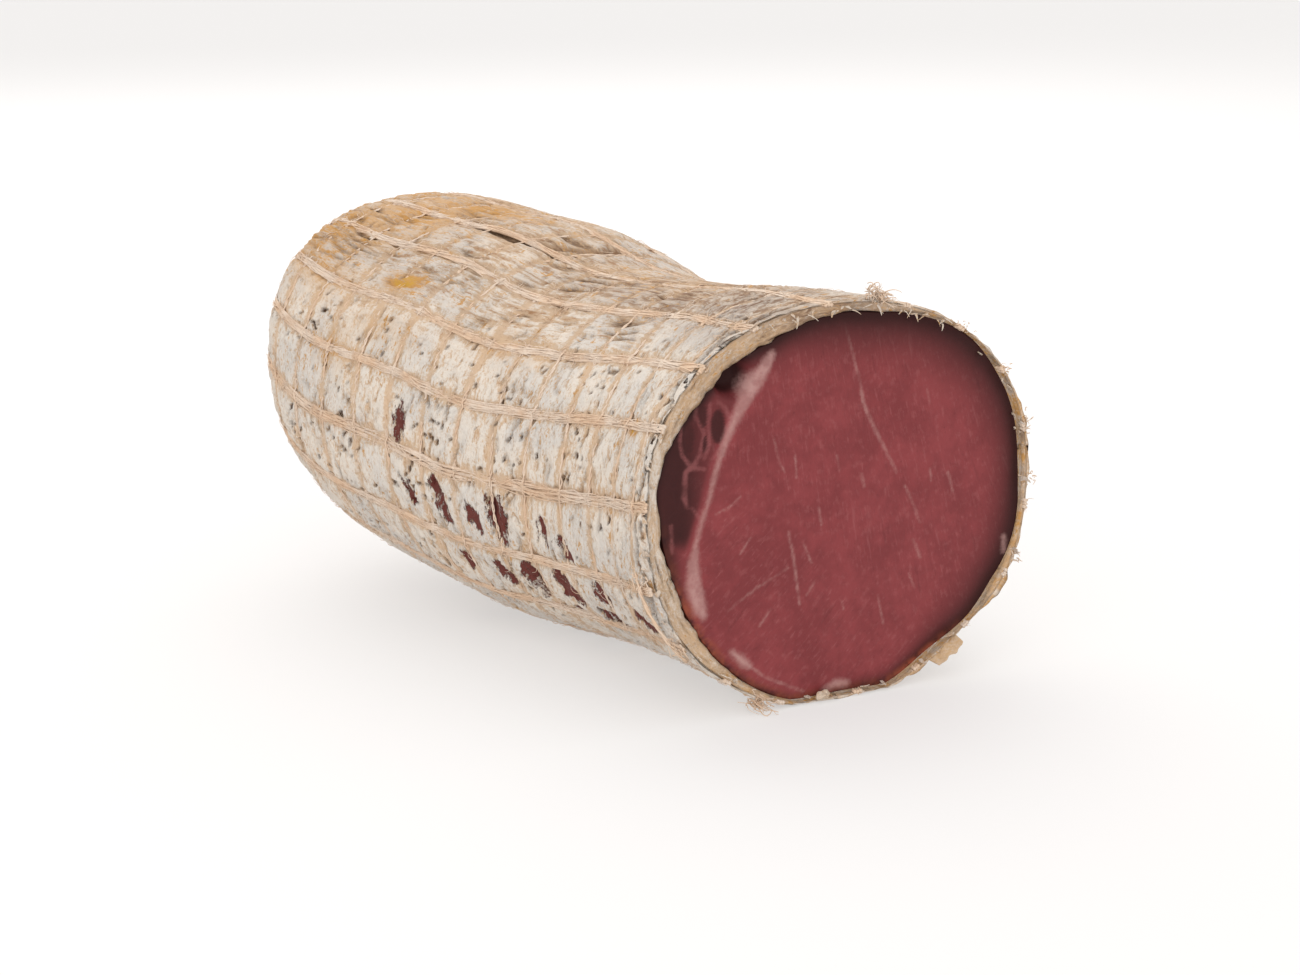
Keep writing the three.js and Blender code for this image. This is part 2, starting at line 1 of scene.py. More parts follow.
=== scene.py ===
"""Half a bresaola in its natural casing and elastic tying net, dressed for a studio picture.

Metres: x runs across, y from the cut face to the tied end, z up. Every piece is laid out on one
envelope, the surface that the tops of the net's cords touch. A place on it is a distance walked
along the skin from the cut and an angle round the body: 0 is the far side, a quarter turn the
top and half a turn the near side.
"""
import logging
import math
from dataclasses import dataclass, field
from enum import Enum
from functools import cached_property
from typing import Sequence

import bpy
import numpy as np
from mathutils import Matrix, Vector


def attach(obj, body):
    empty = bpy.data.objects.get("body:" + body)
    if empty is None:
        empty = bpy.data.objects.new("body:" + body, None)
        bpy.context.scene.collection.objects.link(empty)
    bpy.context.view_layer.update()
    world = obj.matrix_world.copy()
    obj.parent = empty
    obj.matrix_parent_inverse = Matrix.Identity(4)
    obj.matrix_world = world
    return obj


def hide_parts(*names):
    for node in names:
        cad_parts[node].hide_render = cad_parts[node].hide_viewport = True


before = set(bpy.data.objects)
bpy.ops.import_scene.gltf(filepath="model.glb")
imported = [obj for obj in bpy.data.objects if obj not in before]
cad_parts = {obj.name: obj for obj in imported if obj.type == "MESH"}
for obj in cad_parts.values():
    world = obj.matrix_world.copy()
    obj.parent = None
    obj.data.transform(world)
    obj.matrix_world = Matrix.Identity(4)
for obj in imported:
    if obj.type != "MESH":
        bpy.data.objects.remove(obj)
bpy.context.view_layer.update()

log = logging.getLogger("bresaola")

MM = 0.001
TURN = 2 * math.pi
# Farther than any place is from a line of fat, in mm, and from a worn patch of the casing.
FAR_MM = 1e3
NOT_BARE = 10 * MM

Array = np.ndarray
Draws = np.random.Generator
Piece = bpy.types.Object
Socket = bpy.types.NodeSocket
Path = tuple[Array, Array]
Colour = tuple[float, float, float]


# ---- small helpers

def rad(degrees: float | Array) -> float | Array:
    """Degrees as radians."""
    return np.radians(degrees)


def smooth(value: Array, low: float, high: float) -> Array:
    """A smooth step from 0 at low to 1 at high; low may be the larger."""
    share = np.clip((value - low) / (high - low), 0, 1)
    return share * share * (3 - 2 * share)


def bell(offset: Array, spread: float | Array) -> Array:
    """A bell curve of unit height."""
    return np.exp(-((offset / spread) ** 2))


def turn_between(angle: Array, other: Array | float) -> Array:
    """The difference between two angles, from -pi to pi."""
    return np.arctan2(np.sin(angle - other), np.cos(angle - other))


def near(angle: Array, at: float, reach: float) -> Array:
    """A bell round the body: 1 at an angle, fading over a reach; both are in degrees."""
    return bell(turn_between(angle, rad(at)), rad(reach))


def within(angle: Array, at: float, out: float, full: float) -> Array:
    """1 up to full degrees away from an angle, and 0 from out degrees on; at is in degrees."""
    return smooth(np.abs(turn_between(angle, rad(at))), rad(out), rad(full))


def round_table(table: Sequence[tuple[float, float]], angle: Array) -> Array:
    """Values of a table of degrees and millimetres, at angles round the body."""
    turns, values = np.array(table).T
    return np.interp(np.mod(np.degrees(angle), 360), turns, values) * MM


def blend(start: Array | float, end: Array | float, share: Array | float) -> Array:
    """A straight blend from start to end."""
    return start + (end - start) * share


def from_line(u: Array, v: Array, end_u: float, end_v: float) -> tuple[Array, Array]:
    """How far places lie from a straight line that runs from the origin to its end.

    Args:
        u: Places one way.
        v: Places the other way.
        end_u: The line's end one way.
        end_v: Its end the other way.

    Returns:
        The distances, and the share of the line at which it is nearest.
    """
    share = np.clip((u * end_u + v * end_v) / (end_u * end_u + end_v * end_v), 0, 1)
    return np.hypot(u - share * end_u, v - share * end_v), share


# What varies on the net without a rule; each topic has repeatable draws of its own, by its place
# in this list. The solids' source has the same list, so some topics are used there alone.
TOPICS = ("sway", "swayStart", "ringPlace", "ringWave", "edge", "pillow", "overhang", "flap")
DRAWS_EACH = 1000
WORD = 0xFFFFFFFF
STRIDE = 0x6D2B79F5


def uneven(topic: str, number: int) -> float:
    """A repeatable number from -1 to 1, by the 32-bit generator that the net is laid out with.

    Args:
        topic: What the draw is for, one of TOPICS.
        number: Which draw of that topic.

    Returns:
        The number.
    """
    state = (TOPICS.index(topic) * DRAWS_EACH + number + 1 + STRIDE) & WORD
    mixed = ((state ^ (state >> 15)) * (state | 1)) & WORD
    mixed ^= (mixed + (((mixed ^ (mixed >> 7)) * (mixed | 61)) & WORD)) & WORD
    return 2 * ((mixed ^ (mixed >> 14)) & WORD) / (WORD + 1) - 1


class Lattice:
    """Smooth unevenness over the skin, from a lattice of seeded slopes that closes round it."""

    ROWS = 256
    HEIGHT = 1.4

    def __init__(self, seed: int, cells_round: int, cell_length: float) -> None:
        """Draws the lattice.

        Args:
            seed: Seed of the draws.
            cells_round: How many cells go once round the body.
            cell_length: Length of a cell along the body.
        """
        self.cells_round = cells_round
        self.cell_length = cell_length
        self.slopes = np.random.default_rng(seed).uniform(0, TURN, (self.ROWS, cells_round))

    def at(self, distance: Array, angle: Array) -> Array:
        """Unevenness, from about -1 to 1, at places on the skin.

        Args:
            distance: Distances along the skin.
            angle: Angles round it.

        Returns:
            One number for each place.
        """
        across = np.mod(angle / TURN, 1) * self.cells_round
        along = distance / self.cell_length + self.ROWS / 2
        column, row = np.floor(across).astype(int), np.floor(along).astype(int)
        u, v = across - column, along - row
        ease_u, ease_v = u * u * u * (u * (6 * u - 15) + 10), v * v * v * (v * (6 * v - 15) + 10)
        sides = []
        for down in (0, 1):
            ends = []
            for on in (0, 1):
                slope = self.slopes[(row + down) % self.ROWS, (column + on) % self.cells_round]
                ends.append(np.cos(slope) * (u - on) + np.sin(slope) * (v - down))
            sides.append(blend(*ends, ease_u))
        return self.HEIGHT * blend(*sides, ease_v)

    @staticmethod
    def several(kinds: Sequence[tuple[int, int, float]], distance: Array,
                angle: Array) -> list[Array]:
        """Unevenness of several kinds, each with its seed, cells round and cell length in mm."""
        return [Lattice(seed, cells, length * MM).at(distance, angle)
                for seed, cells, length in kinds]

    @staticmethod
    def round_body(seed: int, cells: int, angle: Array) -> Array:
        """Unevenness that changes with the angle alone."""
        return Lattice(seed, cells, 1.0).at(0 * angle, angle)


# ---- the envelope

@dataclass(frozen=True)
class Station:
    """Sizes of the cross-section at a share of the length."""

    at: float
    half_width: float
    crown: float
    underside: float
    aside: float


@dataclass(frozen=True)
class Hollow:
    """A hollow pressed into the body; angle and reach are in degrees."""

    at: float
    spread: float
    angle: float
    reach: float
    depth: float


@dataclass(frozen=True)
class Envelope:
    """The surface that the tops of the net's cords touch."""

    length: float = 198 * MM
    cut_skew: float = -0.19
    skew_fades_at: float = 0.9
    round_end_from: float = 0.6
    round_end_power: float = 2.8
    section_power: float = 2.22
    settle: float = 2 * MM
    middle_x: float = -2.7121 * MM
    middle_y: float = 97.966 * MM
    stations: tuple[Station, ...] = (
        Station(0.00, 57.5 * MM, 106.0 * MM, 0.0, 0.0),
        Station(0.15, 55.6 * MM, 106.3 * MM, 0.0, 4.9 * MM),
        Station(0.30, 55.6 * MM, 104.0 * MM, 0.0, 5.2 * MM),
        Station(0.45, 57.1 * MM, 103.6 * MM, 0.0, 1.3 * MM),
        Station(0.60, 59.1 * MM, 109.6 * MM, 3.2 * MM, -2.3 * MM),
        Station(0.75, 60.6 * MM, 112.3 * MM, 8.4 * MM, -6.8 * MM),
        Station(0.90, 61.2 * MM, 122.4 * MM, 15.6 * MM, -12.1 * MM),
    )
    hollows: tuple[Hollow, ...] = (
        Hollow(0.31, 0.25, 63, 36, 6.2 * MM),
        Hollow(0.0, 0.30, 307, 20, 3.0 * MM),
        Hollow(0.05, 0.40, 243, 20, 1.6 * MM),
        Hollow(0.0, 0.10, 222, 22, 2.2 * MM),
    )
    fold_widths: tuple[tuple[float, float], ...] = (
        (0, 1.6), (10, 1.3), (28, 1.05), (52, 1.05), (60, 1.3), (70, 2.0), (80, 3.3), (90, 3.3),
        (100, 4.7), (110, 6.6), (120, 6.6), (130, 6.8), (140, 7.4), (150, 6.6), (160, 5.4),
        (170, 5.0), (180, 6.8), (190, 8.1), (200, 8.5), (210, 7.4), (220, 5.8), (230, 4.3),
        (240, 3.0), (250, 2.0), (262, 1.1), (280, 0.9), (318, 1.0), (330, 2.0), (342, 2.0),
        (360, 1.6),
    )

    def _station_values(self, share: Array) -> Array:
        """Half width, crown, underside and shift at shares of the length, one row for each.

        Args:
            share: Shares of the length.

        Returns:
            An array of four rows, by a cubic through the stations with natural ends.
        """
        at = np.array([station.at for station in self.stations])
        values = np.array([[s.half_width, s.crown, s.underside, s.aside] for s in self.stations]).T
        share = np.clip(share, at[0], at[-1])
        after = np.clip(np.searchsorted(at, share, side="right"), 1, len(at) - 1)
        before = after - 1
        first, last = before == 0, after == len(at) - 1
        prior, beyond = np.where(first, after, before - 1), np.where(last, before, after + 1)
        prior, beyond = np.clip(prior, 0, len(at) - 1), np.clip(beyond, 0, len(at) - 1)
        half = (at[after] - at[before]) / 2
        back, on = half / (at[before] - at[prior]), half / (at[beyond] - at[after])
        p = (share - at[before]) / (at[after] - at[before])
        p2, p3 = p * p, p * p * p
        return (
            (-back * p3 + 2 * back * p2 - back * p) * values[:, prior]
            + ((1 + back) * p3 - (1.5 + 2 * back) * p2 + (back - 0.5) * p + 1) * values[:, before]
            + (-(1 + on) * p3 + (1.5 + on) * p2 + 0.5 * p) * values[:, after]
            + (on * p3 - on * p2) * values[:, beyond]
        )

    def point(self, share: Array, angle: Array) -> Array:
        """Points of the envelope.

        Args:
            share: Shares of the length.
            angle: Angles round the body.

        Returns:
            An array of points, one in each row.
        """
        share, angle = np.broadcast_arrays(np.asarray(share, float), np.asarray(angle, float))
        full_width, crown, underside, aside = self._station_values(share)
        into = np.clip((share - self.round_end_from) / (1 - self.round_end_from), 0, None)
        closing = np.clip(1 - into ** self.round_end_power, 0, None) ** (1 / self.round_end_power)
        sag = self.settle * (1 - smooth(share, 0.45, 0.7))
        pressed = np.zeros_like(share)
        for hollow in self.hollows:
            around = near(angle, hollow.angle, hollow.reach)
            pressed += hollow.depth * around * bell(share - hollow.at, hollow.spread)
        shrink = 1 - pressed / full_width
        power = 2 / self.section_power
        cosine, sine = np.cos(angle), np.sin(angle)
        x = aside + full_width * closing * shrink * np.sign(cosine) * np.abs(cosine) ** power
        height = (crown - underside + sag) / 2 * closing
        z = (crown + underside - sag) / 2 + height * shrink * np.sign(sine) * np.abs(sine) ** power
        slant = self.cut_skew * np.clip(1 - share / self.skew_fades_at, 0, None)
        y = share * self.length + slant * x
        return np.stack([x - self.middle_x, y - self.middle_y, np.clip(z, 0, None)], -1)

    @cached_property
    def measured(self) -> tuple[Array, Array]:
        """Distances along the near side of the skin, and the share of the length at each.

        Returns:
            Both, for stops that stand closer together over the rounded end.
        """
        step = np.linspace(0, 1, 401)
        bend = np.sin(np.clip(step - 0.5, 0, None) * math.pi) ** (2 / self.round_end_power)
        far = self.round_end_from + (1 - self.round_end_from) * bend
        share = np.where(step < 0.5, self.round_end_from * 2 * step, far)
        points = self.point(share, math.pi)
        walked = np.linalg.norm(np.diff(points, axis=0), axis=1)
        return np.concatenate([[0], np.cumsum(walked)]), share

    @property
    def skin_length(self) -> float:
        """Distance along the skin from the cut to the tip."""
        return float(self.measured[0][-1])

    def share_at(self, distance: Array) -> Array:
        """Share of the length at distances along the skin."""
        return np.interp(distance, *self.measured)

    def normal(self, distance: Array, angle: Array) -> Array:
        """Outward normals of the envelope.

        Args:
            distance: Distances along the skin.
            angle: Angles round it.

        Returns:
            Unit vectors, one in each row.
        """
        turn, step = 0.03, 0.6 * MM
        share = self.share_at(distance)
        around = self.point(share, angle + turn) - self.point(share, angle - turn)
        ahead = self.share_at(np.minimum(distance + step, self.skin_length - step))
        behind = self.share_at(np.maximum(distance - 2 * step, 0))
        normal = np.cross(self.point(ahead, angle) - self.point(behind, angle), around)
        return normal / np.linalg.norm(normal, axis=-1, keepdims=True)

    def sunk(self, distance: Array, angle: Array, depth: Array | float) -> Array:
        """Points sunk below the envelope; before the cut the skin runs straight on.

        Args:
            distance: Distances along the skin, negative before the cut.
            angle: Angles round it.
            depth: Depths below the envelope.

        Returns:
            An array of points, one in each row.
        """
        distance, angle, depth = np.broadcast_arrays(
            *(np.asarray(value, float) for value in (distance, angle, depth)))
        on_skin = np.clip(distance, 0, self.skin_length - 1.2 * MM)
        points = self.point(self.share_at(on_skin), angle)
        points = points - self.normal(on_skin, angle) * depth[..., None]
        points[..., 1] += np.minimum(0, distance)
        tip = self.point(1.0, 0.0) - np.array([0, 1, 0]) * depth[..., None]
        ease = smooth(distance, self.skin_length - 4 * MM, self.skin_length - 0.2 * MM)[..., None]
        points = blend(points, tip, ease)
        points[..., 2] = np.clip(points[..., 2], 0, None)
        return points

    def cut_at(self, x: Array) -> Array:
        """Where the knife's plane lies along y, at places across."""
        return self.cut_skew * (x + self.middle_x) - self.middle_y

    def fold_width(self, angle: Array) -> Array:
        """How far the casing's folded front edge reaches in over the cut face."""
        return round_table(self.fold_widths, angle)

    @property
    def tip(self) -> Array:
        """The crown of the rounded end."""
        return self.point(1.0, 0.0)


# ---- where the net lies

@dataclass(frozen=True)
class NetLayout:
    """Places of the lengthwise cords and the ring threads of the tying net."""

    envelope: Envelope
    cords: int = 18
    rings: int = 16
    ring_pitch: float = 13 * MM
    first_ring: float = 6 * MM
    ring_play: float = 0.8 * MM
    cord_sway: float = 1.6
    front_twist: float = -6
    twist_fades_at: float = 0.3
    gather_at: float = 219 * MM

    def cord_angle(self, cord: int, distance: Array) -> Array:
        """Angle of a cord at distances along the skin."""
        share = self.envelope.share_at(np.maximum(distance, 0))
        drift = self.front_twist * np.clip(1 - share / self.twist_fades_at, 0, None) ** 2
        wave = np.sin(1.6 * math.pi * (share + uneven("swayStart", cord)))
        sway = self.cord_sway * uneven("sway", cord) * wave
        return rad(360 / self.cords * cord + drift + sway)

    def ring_distance(self, ring: int, angle: Array) -> Array:
        """Distance of a ring thread from the cut, at angles round the body."""
        even = self.first_ring + self.ring_pitch * ring
        if ring == 0:
            return even + 0 * angle
        wave = np.sin(2 * angle + 3 * math.pi * uneven("ringWave", ring))
        return even + self.ring_play * (uneven("ringPlace", ring) + wave)

    def girth(self, distance: Array) -> Array:
        """Mean radius of the body at distances along the skin."""
        share = self.envelope.share_at(np.maximum(distance, 0))
        far, near_side = (self.envelope.point(share, turn)[..., 0] for turn in (0.0, math.pi))
        return np.maximum((far - near_side) / 2, 1 * MM)

    def from_cords(self, distance: Array, angle: Array) -> Array:
        """How far places lie from the nearest cord's middle line."""
        nearest = np.full(np.shape(distance), 1.0)
        for cord in range(self.cords):
            turned = turn_between(angle, self.cord_angle(cord, distance))
            nearest = np.minimum(nearest, np.abs(turned))
        return nearest * self.girth(distance)

    def from_rings(self, distance: Array, angle: Array) -> Array:
        """How far places lie from the nearest ring thread's middle line."""
        nearest = np.full(np.shape(distance), 1.0)
        for ring in range(self.rings):
            nearest = np.minimum(nearest, np.abs(distance - self.ring_distance(ring, angle)))
        return nearest


# ---- modelling by hand

@dataclass(frozen=True)
class Span:
    """A stretch of a straight sleeve: its length, and how many cuts part it."""

    length: float
    cuts: int


class Modeller:
    """The workshop's ways of starting, laying out and finishing a piece."""

    @staticmethod
    def deselect() -> None:
        """Leaves nothing selected."""
        bpy.ops.object.select_all(action="DESELECT")

    @staticmethod
    def select(*pieces: Piece) -> None:
        """Selects these pieces alone, and makes the first the active one."""
        Modeller.deselect()
        for piece in pieces:
            piece.select_set(True)
        bpy.context.view_layer.objects.active = pieces[0]

    @staticmethod
    def edit(piece: Piece, mode: str = "VERT") -> None:
        """Opens a piece in edit mode with nothing selected."""
        Modeller.select(piece)
        bpy.ops.object.mode_set(mode="EDIT")
        bpy.ops.mesh.select_mode(type=mode)
        bpy.ops.mesh.select_all(action="DESELECT")

    @staticmethod
    def close() -> None:
        """Leaves edit mode."""
        bpy.ops.object.mode_set(mode="OBJECT")

    @staticmethod
    def coordinates(piece: Piece) -> Array:
        """The places of a mesh's points, one in each row."""
        flat = np.empty(len(piece.data.vertices) * 3)
        piece.data.vertices.foreach_get("co", flat)
        return flat.reshape(-1, 3)

    @staticmethod
    def lay(piece: Piece, points: Array) -> None:
        """Moves a mesh's points to new places."""
        piece.data.vertices.foreach_set("co", points.astype(np.float32).ravel())
        piece.data.update()

    @staticmethod
    def pick_circle(piece: Piece, *places: float) -> None:
        """Selects the circles of points at places along a sleeve that is in edit mode."""
        Modeller.close()
        along = Modeller.coordinates(piece)[:, 1]
        chosen = np.any([np.abs(along - place) < 1e-6 for place in places], axis=0)
        piece.data.vertices.foreach_set("select", chosen)
        edges = Modeller.edge_ends(piece)
        piece.data.edges.foreach_set("select", chosen[edges].all(1))
        piece.data.polygons.foreach_set("select", np.zeros(len(piece.data.polygons), bool))
        bpy.ops.object.mode_set(mode="EDIT")

    @staticmethod
    def edge_ends(piece: Piece) -> Array:
        """The two point numbers of each edge, one edge in each row."""
        flat = np.empty(len(piece.data.edges) * 2, np.int32)
        piece.data.edges.foreach_get("vertices", flat)
        return flat.reshape(-1, 2)

    @staticmethod
    def note(piece: Piece, **notes: Array | float) -> None:
        """Stores numbers for each point under these names, which the piece's finish reads."""
        for name, values in notes.items():
            values = np.broadcast_to(values, len(piece.data.vertices))
            layer = piece.data.attributes.new(name, "FLOAT", "POINT")
            layer.data.foreach_set("value", values.astype(np.float32))

    @staticmethod
    def note_places(piece: Piece, name: str, values: Array) -> None:
        """Stores a vector for each point, which the piece's finish reads."""
        layer = piece.data.attributes.new(name, "FLOAT_VECTOR", "POINT")
        layer.data.foreach_set("vector", np.asarray(values, np.float32).ravel())

    @staticmethod
    def round_off(piece: Piece, levels: int) -> None:
        """Rounds a piece by a subdivision surface, applies its modifiers and faces it outward."""
        surface = piece.modifiers.new("rounding", "SUBSURF")
        surface.levels = surface.render_levels = levels
        Modeller.select(piece)
        for modifier in list(piece.modifiers):
            bpy.ops.object.modifier_apply(modifier=modifier.name)
        Modeller.face_outward(piece)

    @staticmethod
    def face_outward(piece: Piece) -> None:
        """Merges doubled points, turns all faces outward and shades them smooth."""
        Modeller.edit(piece)
        bpy.ops.mesh.select_all(action="SELECT")
        bpy.ops.mesh.remove_doubles(threshold=0.002 * MM)
        bpy.ops.mesh.select_all(action="SELECT")
        bpy.ops.mesh.normals_make_consistent(inside=False)
        Modeller.close()
        bpy.ops.object.shade_smooth()

    @staticmethod
    def sleeve(name: str, sides: int, spans: Sequence[Span], poles: bool = True) -> Piece:
        """Models a straight sleeve along +Y, closed for good.

        A circle is extruded once for each span, the new lengthwise edges are parted by the
        span's cuts, and the circles at both ends are merged to a point each, or bridged.

        Args:
            name: The piece's name.
            sides: Sides of the circle.
            spans: Stretches of the sleeve, from the start.
            poles: Whether both ends are merged to a point; else they are joined to each other.

        Returns:
            The piece; a point's y is how far it lies along the sleeve.
        """
        Modeller.deselect()
        bpy.ops.mesh.primitive_circle_add(
            vertices=sides, radius=10 * MM, rotation=(math.pi / 2, 0, 0))
        piece = bpy.context.active_object
        piece.name = name
        bpy.ops.object.transform_apply(location=True, rotation=True, scale=True)
        Modeller.edit(piece)
        reached = 0.0
        for span in spans:
            Modeller.pick_circle(piece, reached)
            bpy.ops.mesh.select_mode(type="EDGE")
            bpy.ops.mesh.extrude_edges_move(TRANSFORM_OT_translate={"value": (0, span.length, 0)})
            Modeller.close()
            along = Modeller.coordinates(piece)[:, 1]
            ends = along[Modeller.edge_ends(piece)]
            new = (ends.min(1) > reached - 1e-6) & (ends.max(1) - ends.min(1) > span.length / 2)
            piece.data.vertices.foreach_set("select", np.zeros(len(along), bool))
            piece.data.polygons.foreach_set("select", np.zeros(len(piece.data.polygons), bool))
            piece.data.edges.foreach_set("select", new)
            bpy.ops.object.mode_set(mode="EDIT")
            if span.cuts:
                bpy.ops.mesh.subdivide(number_cuts=span.cuts, smoothness=0)
            reached += span.length
        bpy.ops.mesh.select_mode(type="VERT")
        if poles:
            for end in (0.0, reached):
                Modeller.pick_circle(piece, end)
                bpy.ops.mesh.merge(type="CENTER")
        else:
            Modeller.pick_circle(piece, 0.0, reached)
            bpy.ops.mesh.select_mode(type="EDGE")
            bpy.ops.mesh.bridge_edge_loops()
        Modeller.close()
        return piece

    @staticmethod
    def strands(name: str, paths: Sequence[Path]) -> Piece:
        """Models round strands along paths, as one mesh with closed ends.

        Args:
            name: The piece's name.
            paths: For each strand its points and its radius at each of them.

        Returns:
            The piece.
        """
        curve = bpy.data.curves.new(name, "CURVE")
        curve.dimensions = "3D"
        curve.bevel_depth = 1.0
        curve.bevel_resolution = 0
        curve.use_fill_caps = True
        curve.twist_mode = "MINIMUM"
        for points, radii in paths:
            spline = curve.splines.new("POLY")
            spline.points.add(len(points) - 1)
            spline.points.foreach_set("co", np.c_[points, np.ones(len(points))].ravel())
            spline.points.foreach_set("radius", np.broadcast_to(radii, len(points)).astype(float))
        piece = bpy.data.objects.new(name, curve)
        bpy.context.scene.collection.objects.link(piece)
        Modeller.select(piece)
        bpy.ops.object.convert(target="MESH")
        piece = bpy.context.active_object
        piece.name = name
        Modeller.face_outward(piece)
        return piece


# ---- shader maths

def paint(red: int, green: int, blue: int, light: float = 1.22) -> Colour:
    """The paint that looks like this on screen, from 0 to 255, under this much light."""
    shares = [value / 255 for value in (red, green, blue)]
    linear = [s / 12.92 if s <= 0.04045 else ((s + 0.055) / 1.055) ** 2.4 for s in shares]
    return tuple(value / light for value in linear)


class Number:
    """A number socket of a material, with Python's own arithmetic."""

    def __init__(self, shop: "Shop", socket: Socket) -> None:
        """Wraps a socket of a shop's material."""
        self.shop = shop
        self.socket = socket

    def _with(self, operation: str, *values: "Number | float", clamp: bool = False) -> "Number":
        """A Math node on these values.

        Args:
            operation: The Math node's operation.
            *values: Its inputs, in order.
            clamp: Whether the result is kept from 0 to 1.

        Returns:
            The result.
        """
        settings = {"operation": operation, "use_clamp": clamp}
        node = self.shop.node("ShaderNodeMath", settings, dict(enumerate(values)))
        return Number(self.shop, node.outputs[0])

    def __add__(self, other: "Number | float") -> "Number":
        """self + other."""
        return self._with("ADD", self, other)

    __radd__ = __add__

    def __sub__(self, other: "Number | float") -> "Number":
        """self - other."""
        return self._with("SUBTRACT", self, other)

    def __rsub__(self, other: "Number | float") -> "Number":
        """other - self."""
        return self._with("SUBTRACT", other, self)

    def __mul__(self, other: "Number | float") -> "Number":
        """self * other."""
        return self._with("MULTIPLY", self, other)

    __rmul__ = __mul__

    def kept(self) -> "Number":
        """self kept from 0 to 1."""
        return self._with("MULTIPLY", self, 1.0, clamp=True)

    def step(self, low: float, high: float) -> "Number":
        """A smooth step of self, from 0 at low to 1 at high.

        Args:
            low: Where the result is 0.
            high: Where the result is 1; it may be the smaller of the two.

        Returns:
            The step.
        """
        settings = {"interpolation_type": "SMOOTHSTEP"}
        inputs = {"Value": self, "From Min": min(low, high), "From Max": max(low, high)}
        if low > high:
            inputs |= {"To Min": 1.0, "To Max": 0.0}
        return Number(self.shop, self.shop.node("ShaderNodeMapRange", settings, inputs).outputs[0])


class Shop:
    """Builds one material's nodes."""

    def __init__(self, name: str) -> None:
        """Starts an empty material."""
        self.material = bpy.data.materials.new(name)
        self.material.use_nodes = True
        self.tree = self.material.node_tree
        self.tree.nodes.clear()

    def node(self, kind: str, settings: dict, inputs: dict) -> bpy.types.Node:
        """Adds a node.

        Args:
            kind: The node's type.
            settings: Its own properties, which are set first.
            inputs: A value or a link for each of its sockets, by name or by number.

        Returns:
            The node.
        """
        node = self.tree.nodes.new(kind)
        for name, value in settings.items():
            setattr(node, name, value)
        for name, value in inputs.items():
            socket = node.inputs[name]
            source = value.socket if isinstance(value, Number) else value
            if isinstance(source, Socket):
                self.tree.links.new(source, socket)
            elif isinstance(source, tuple) and len(source) == 3 and socket.type == "RGBA":
                socket.default_value = (*source, 1.0)
            else:
                socket.default_value = source
        return node

    def noted(self, name: str) -> Number:
        """The number that the piece's points store under this name."""
        node = self.node("ShaderNodeAttribute", {"attribute_name": name}, {})
        return Number(self, node.outputs["Fac"])

    def places(self, name: str, across: float = 1.0, along: float = 1.0) -> Socket:
        """Stored or object coordinates, scaled.

        Args:
            name: The name that the points store them under, or "object".
            across: How much the first axis is scaled.
            along: How much the second axis is scaled.

        Returns:
            The vector socket.
        """
        if name == "object":
            source = self.node("ShaderNodeTexCoord", {}, {}).outputs["Object"]
        else:
            stored = self.node("ShaderNodeAttribute", {"attribute_name": name}, {})
            source = stored.outputs["Vector"]
        inputs = {"Vector": source, "Scale": (across, along, 1.0)}
        return self.node("ShaderNodeMapping", {}, inputs).outputs[0]

    def shifted(self, places: Socket, by: Number, amount: float) -> Socket:
        """Coordinates pushed along their first axis by a number."""
        push = self.node("ShaderNodeCombineXYZ", {}, {"X": (by - 0.5) * amount}).outputs[0]
        inputs = {0: places, 1: push}
        return self.node("ShaderNodeVectorMath", {"operation": "ADD"}, inputs).outputs[0]

    def noise(self, places: Socket | tuple, scale: float, detail: float = 3.0,
              roughness: float = 0.55, distortion: float = 0.0) -> Number:
        """Cloudy noise from 0 to 1.

        Args:
            places: Coordinates, or what to call places with.
            scale: Cells for each unit of the coordinates.
            detail: Octaves.
            roughness: Strength of each octave against the last.
            distortion: How much the cells are warped.

        Returns:
            The noise.
        """
        if isinstance(places, tuple):
            places = self.places(*places)
        inputs = {"Vector": places, "Scale": scale, "Detail": detail, "Roughness": roughness,
                  "Distortion": distortion}
        return Number(self, self.node("ShaderNodeTexNoise", {}, inputs).outputs[0])

    def crossing(self, share: Number, first: tuple, second: tuple) -> Number:
        """Noise that goes over from one kind to another.

        Args:
            share: Share of the second kind.
            first: What to call noise with.
            second: The same for the second kind.

        Returns:
            The noise.
        """
        return self.noise(*first) * (1 - share) + self.noise(*second) * share

    def mix(self, share: Number, first: object, second: object) -> Socket:
        """Two colours mixed.

        Args:
            share: Share of the second.
            first: A colour or colour socket.
            second: A colour or colour socket.

        Returns:
            The colour socket.
        """
        inputs = {0: share, 6: first, 7: second}
        return self.node("ShaderNodeMix", {"data_type": "RGBA"}, inputs).outputs[2]

    def bump(self, height: Number, strength: float, distance: float) -> Socket:
        """A normal bent by a height."""
        inputs = {"Height": height, "Strength": strength, "Distance": distance}
        return self.node("ShaderNodeBump", {}, inputs).outputs[0]

    def finish(self, **inputs: object) -> bpy.types.Material:
        """Closes the material with one surface shader.

        Args:
            **inputs: Values or links of its sockets, with _ for a space.

        Returns:
            The material.
        """
        named = {name.replace("_", " "): value for name, value in inputs.items()}
        shader = self.node("ShaderNodeBsdfPrincipled", {}, named)
        self.node("ShaderNodeOutputMaterial", {}, {"Surface": shader.outputs[0]})
        return self.material


# ---- finishes

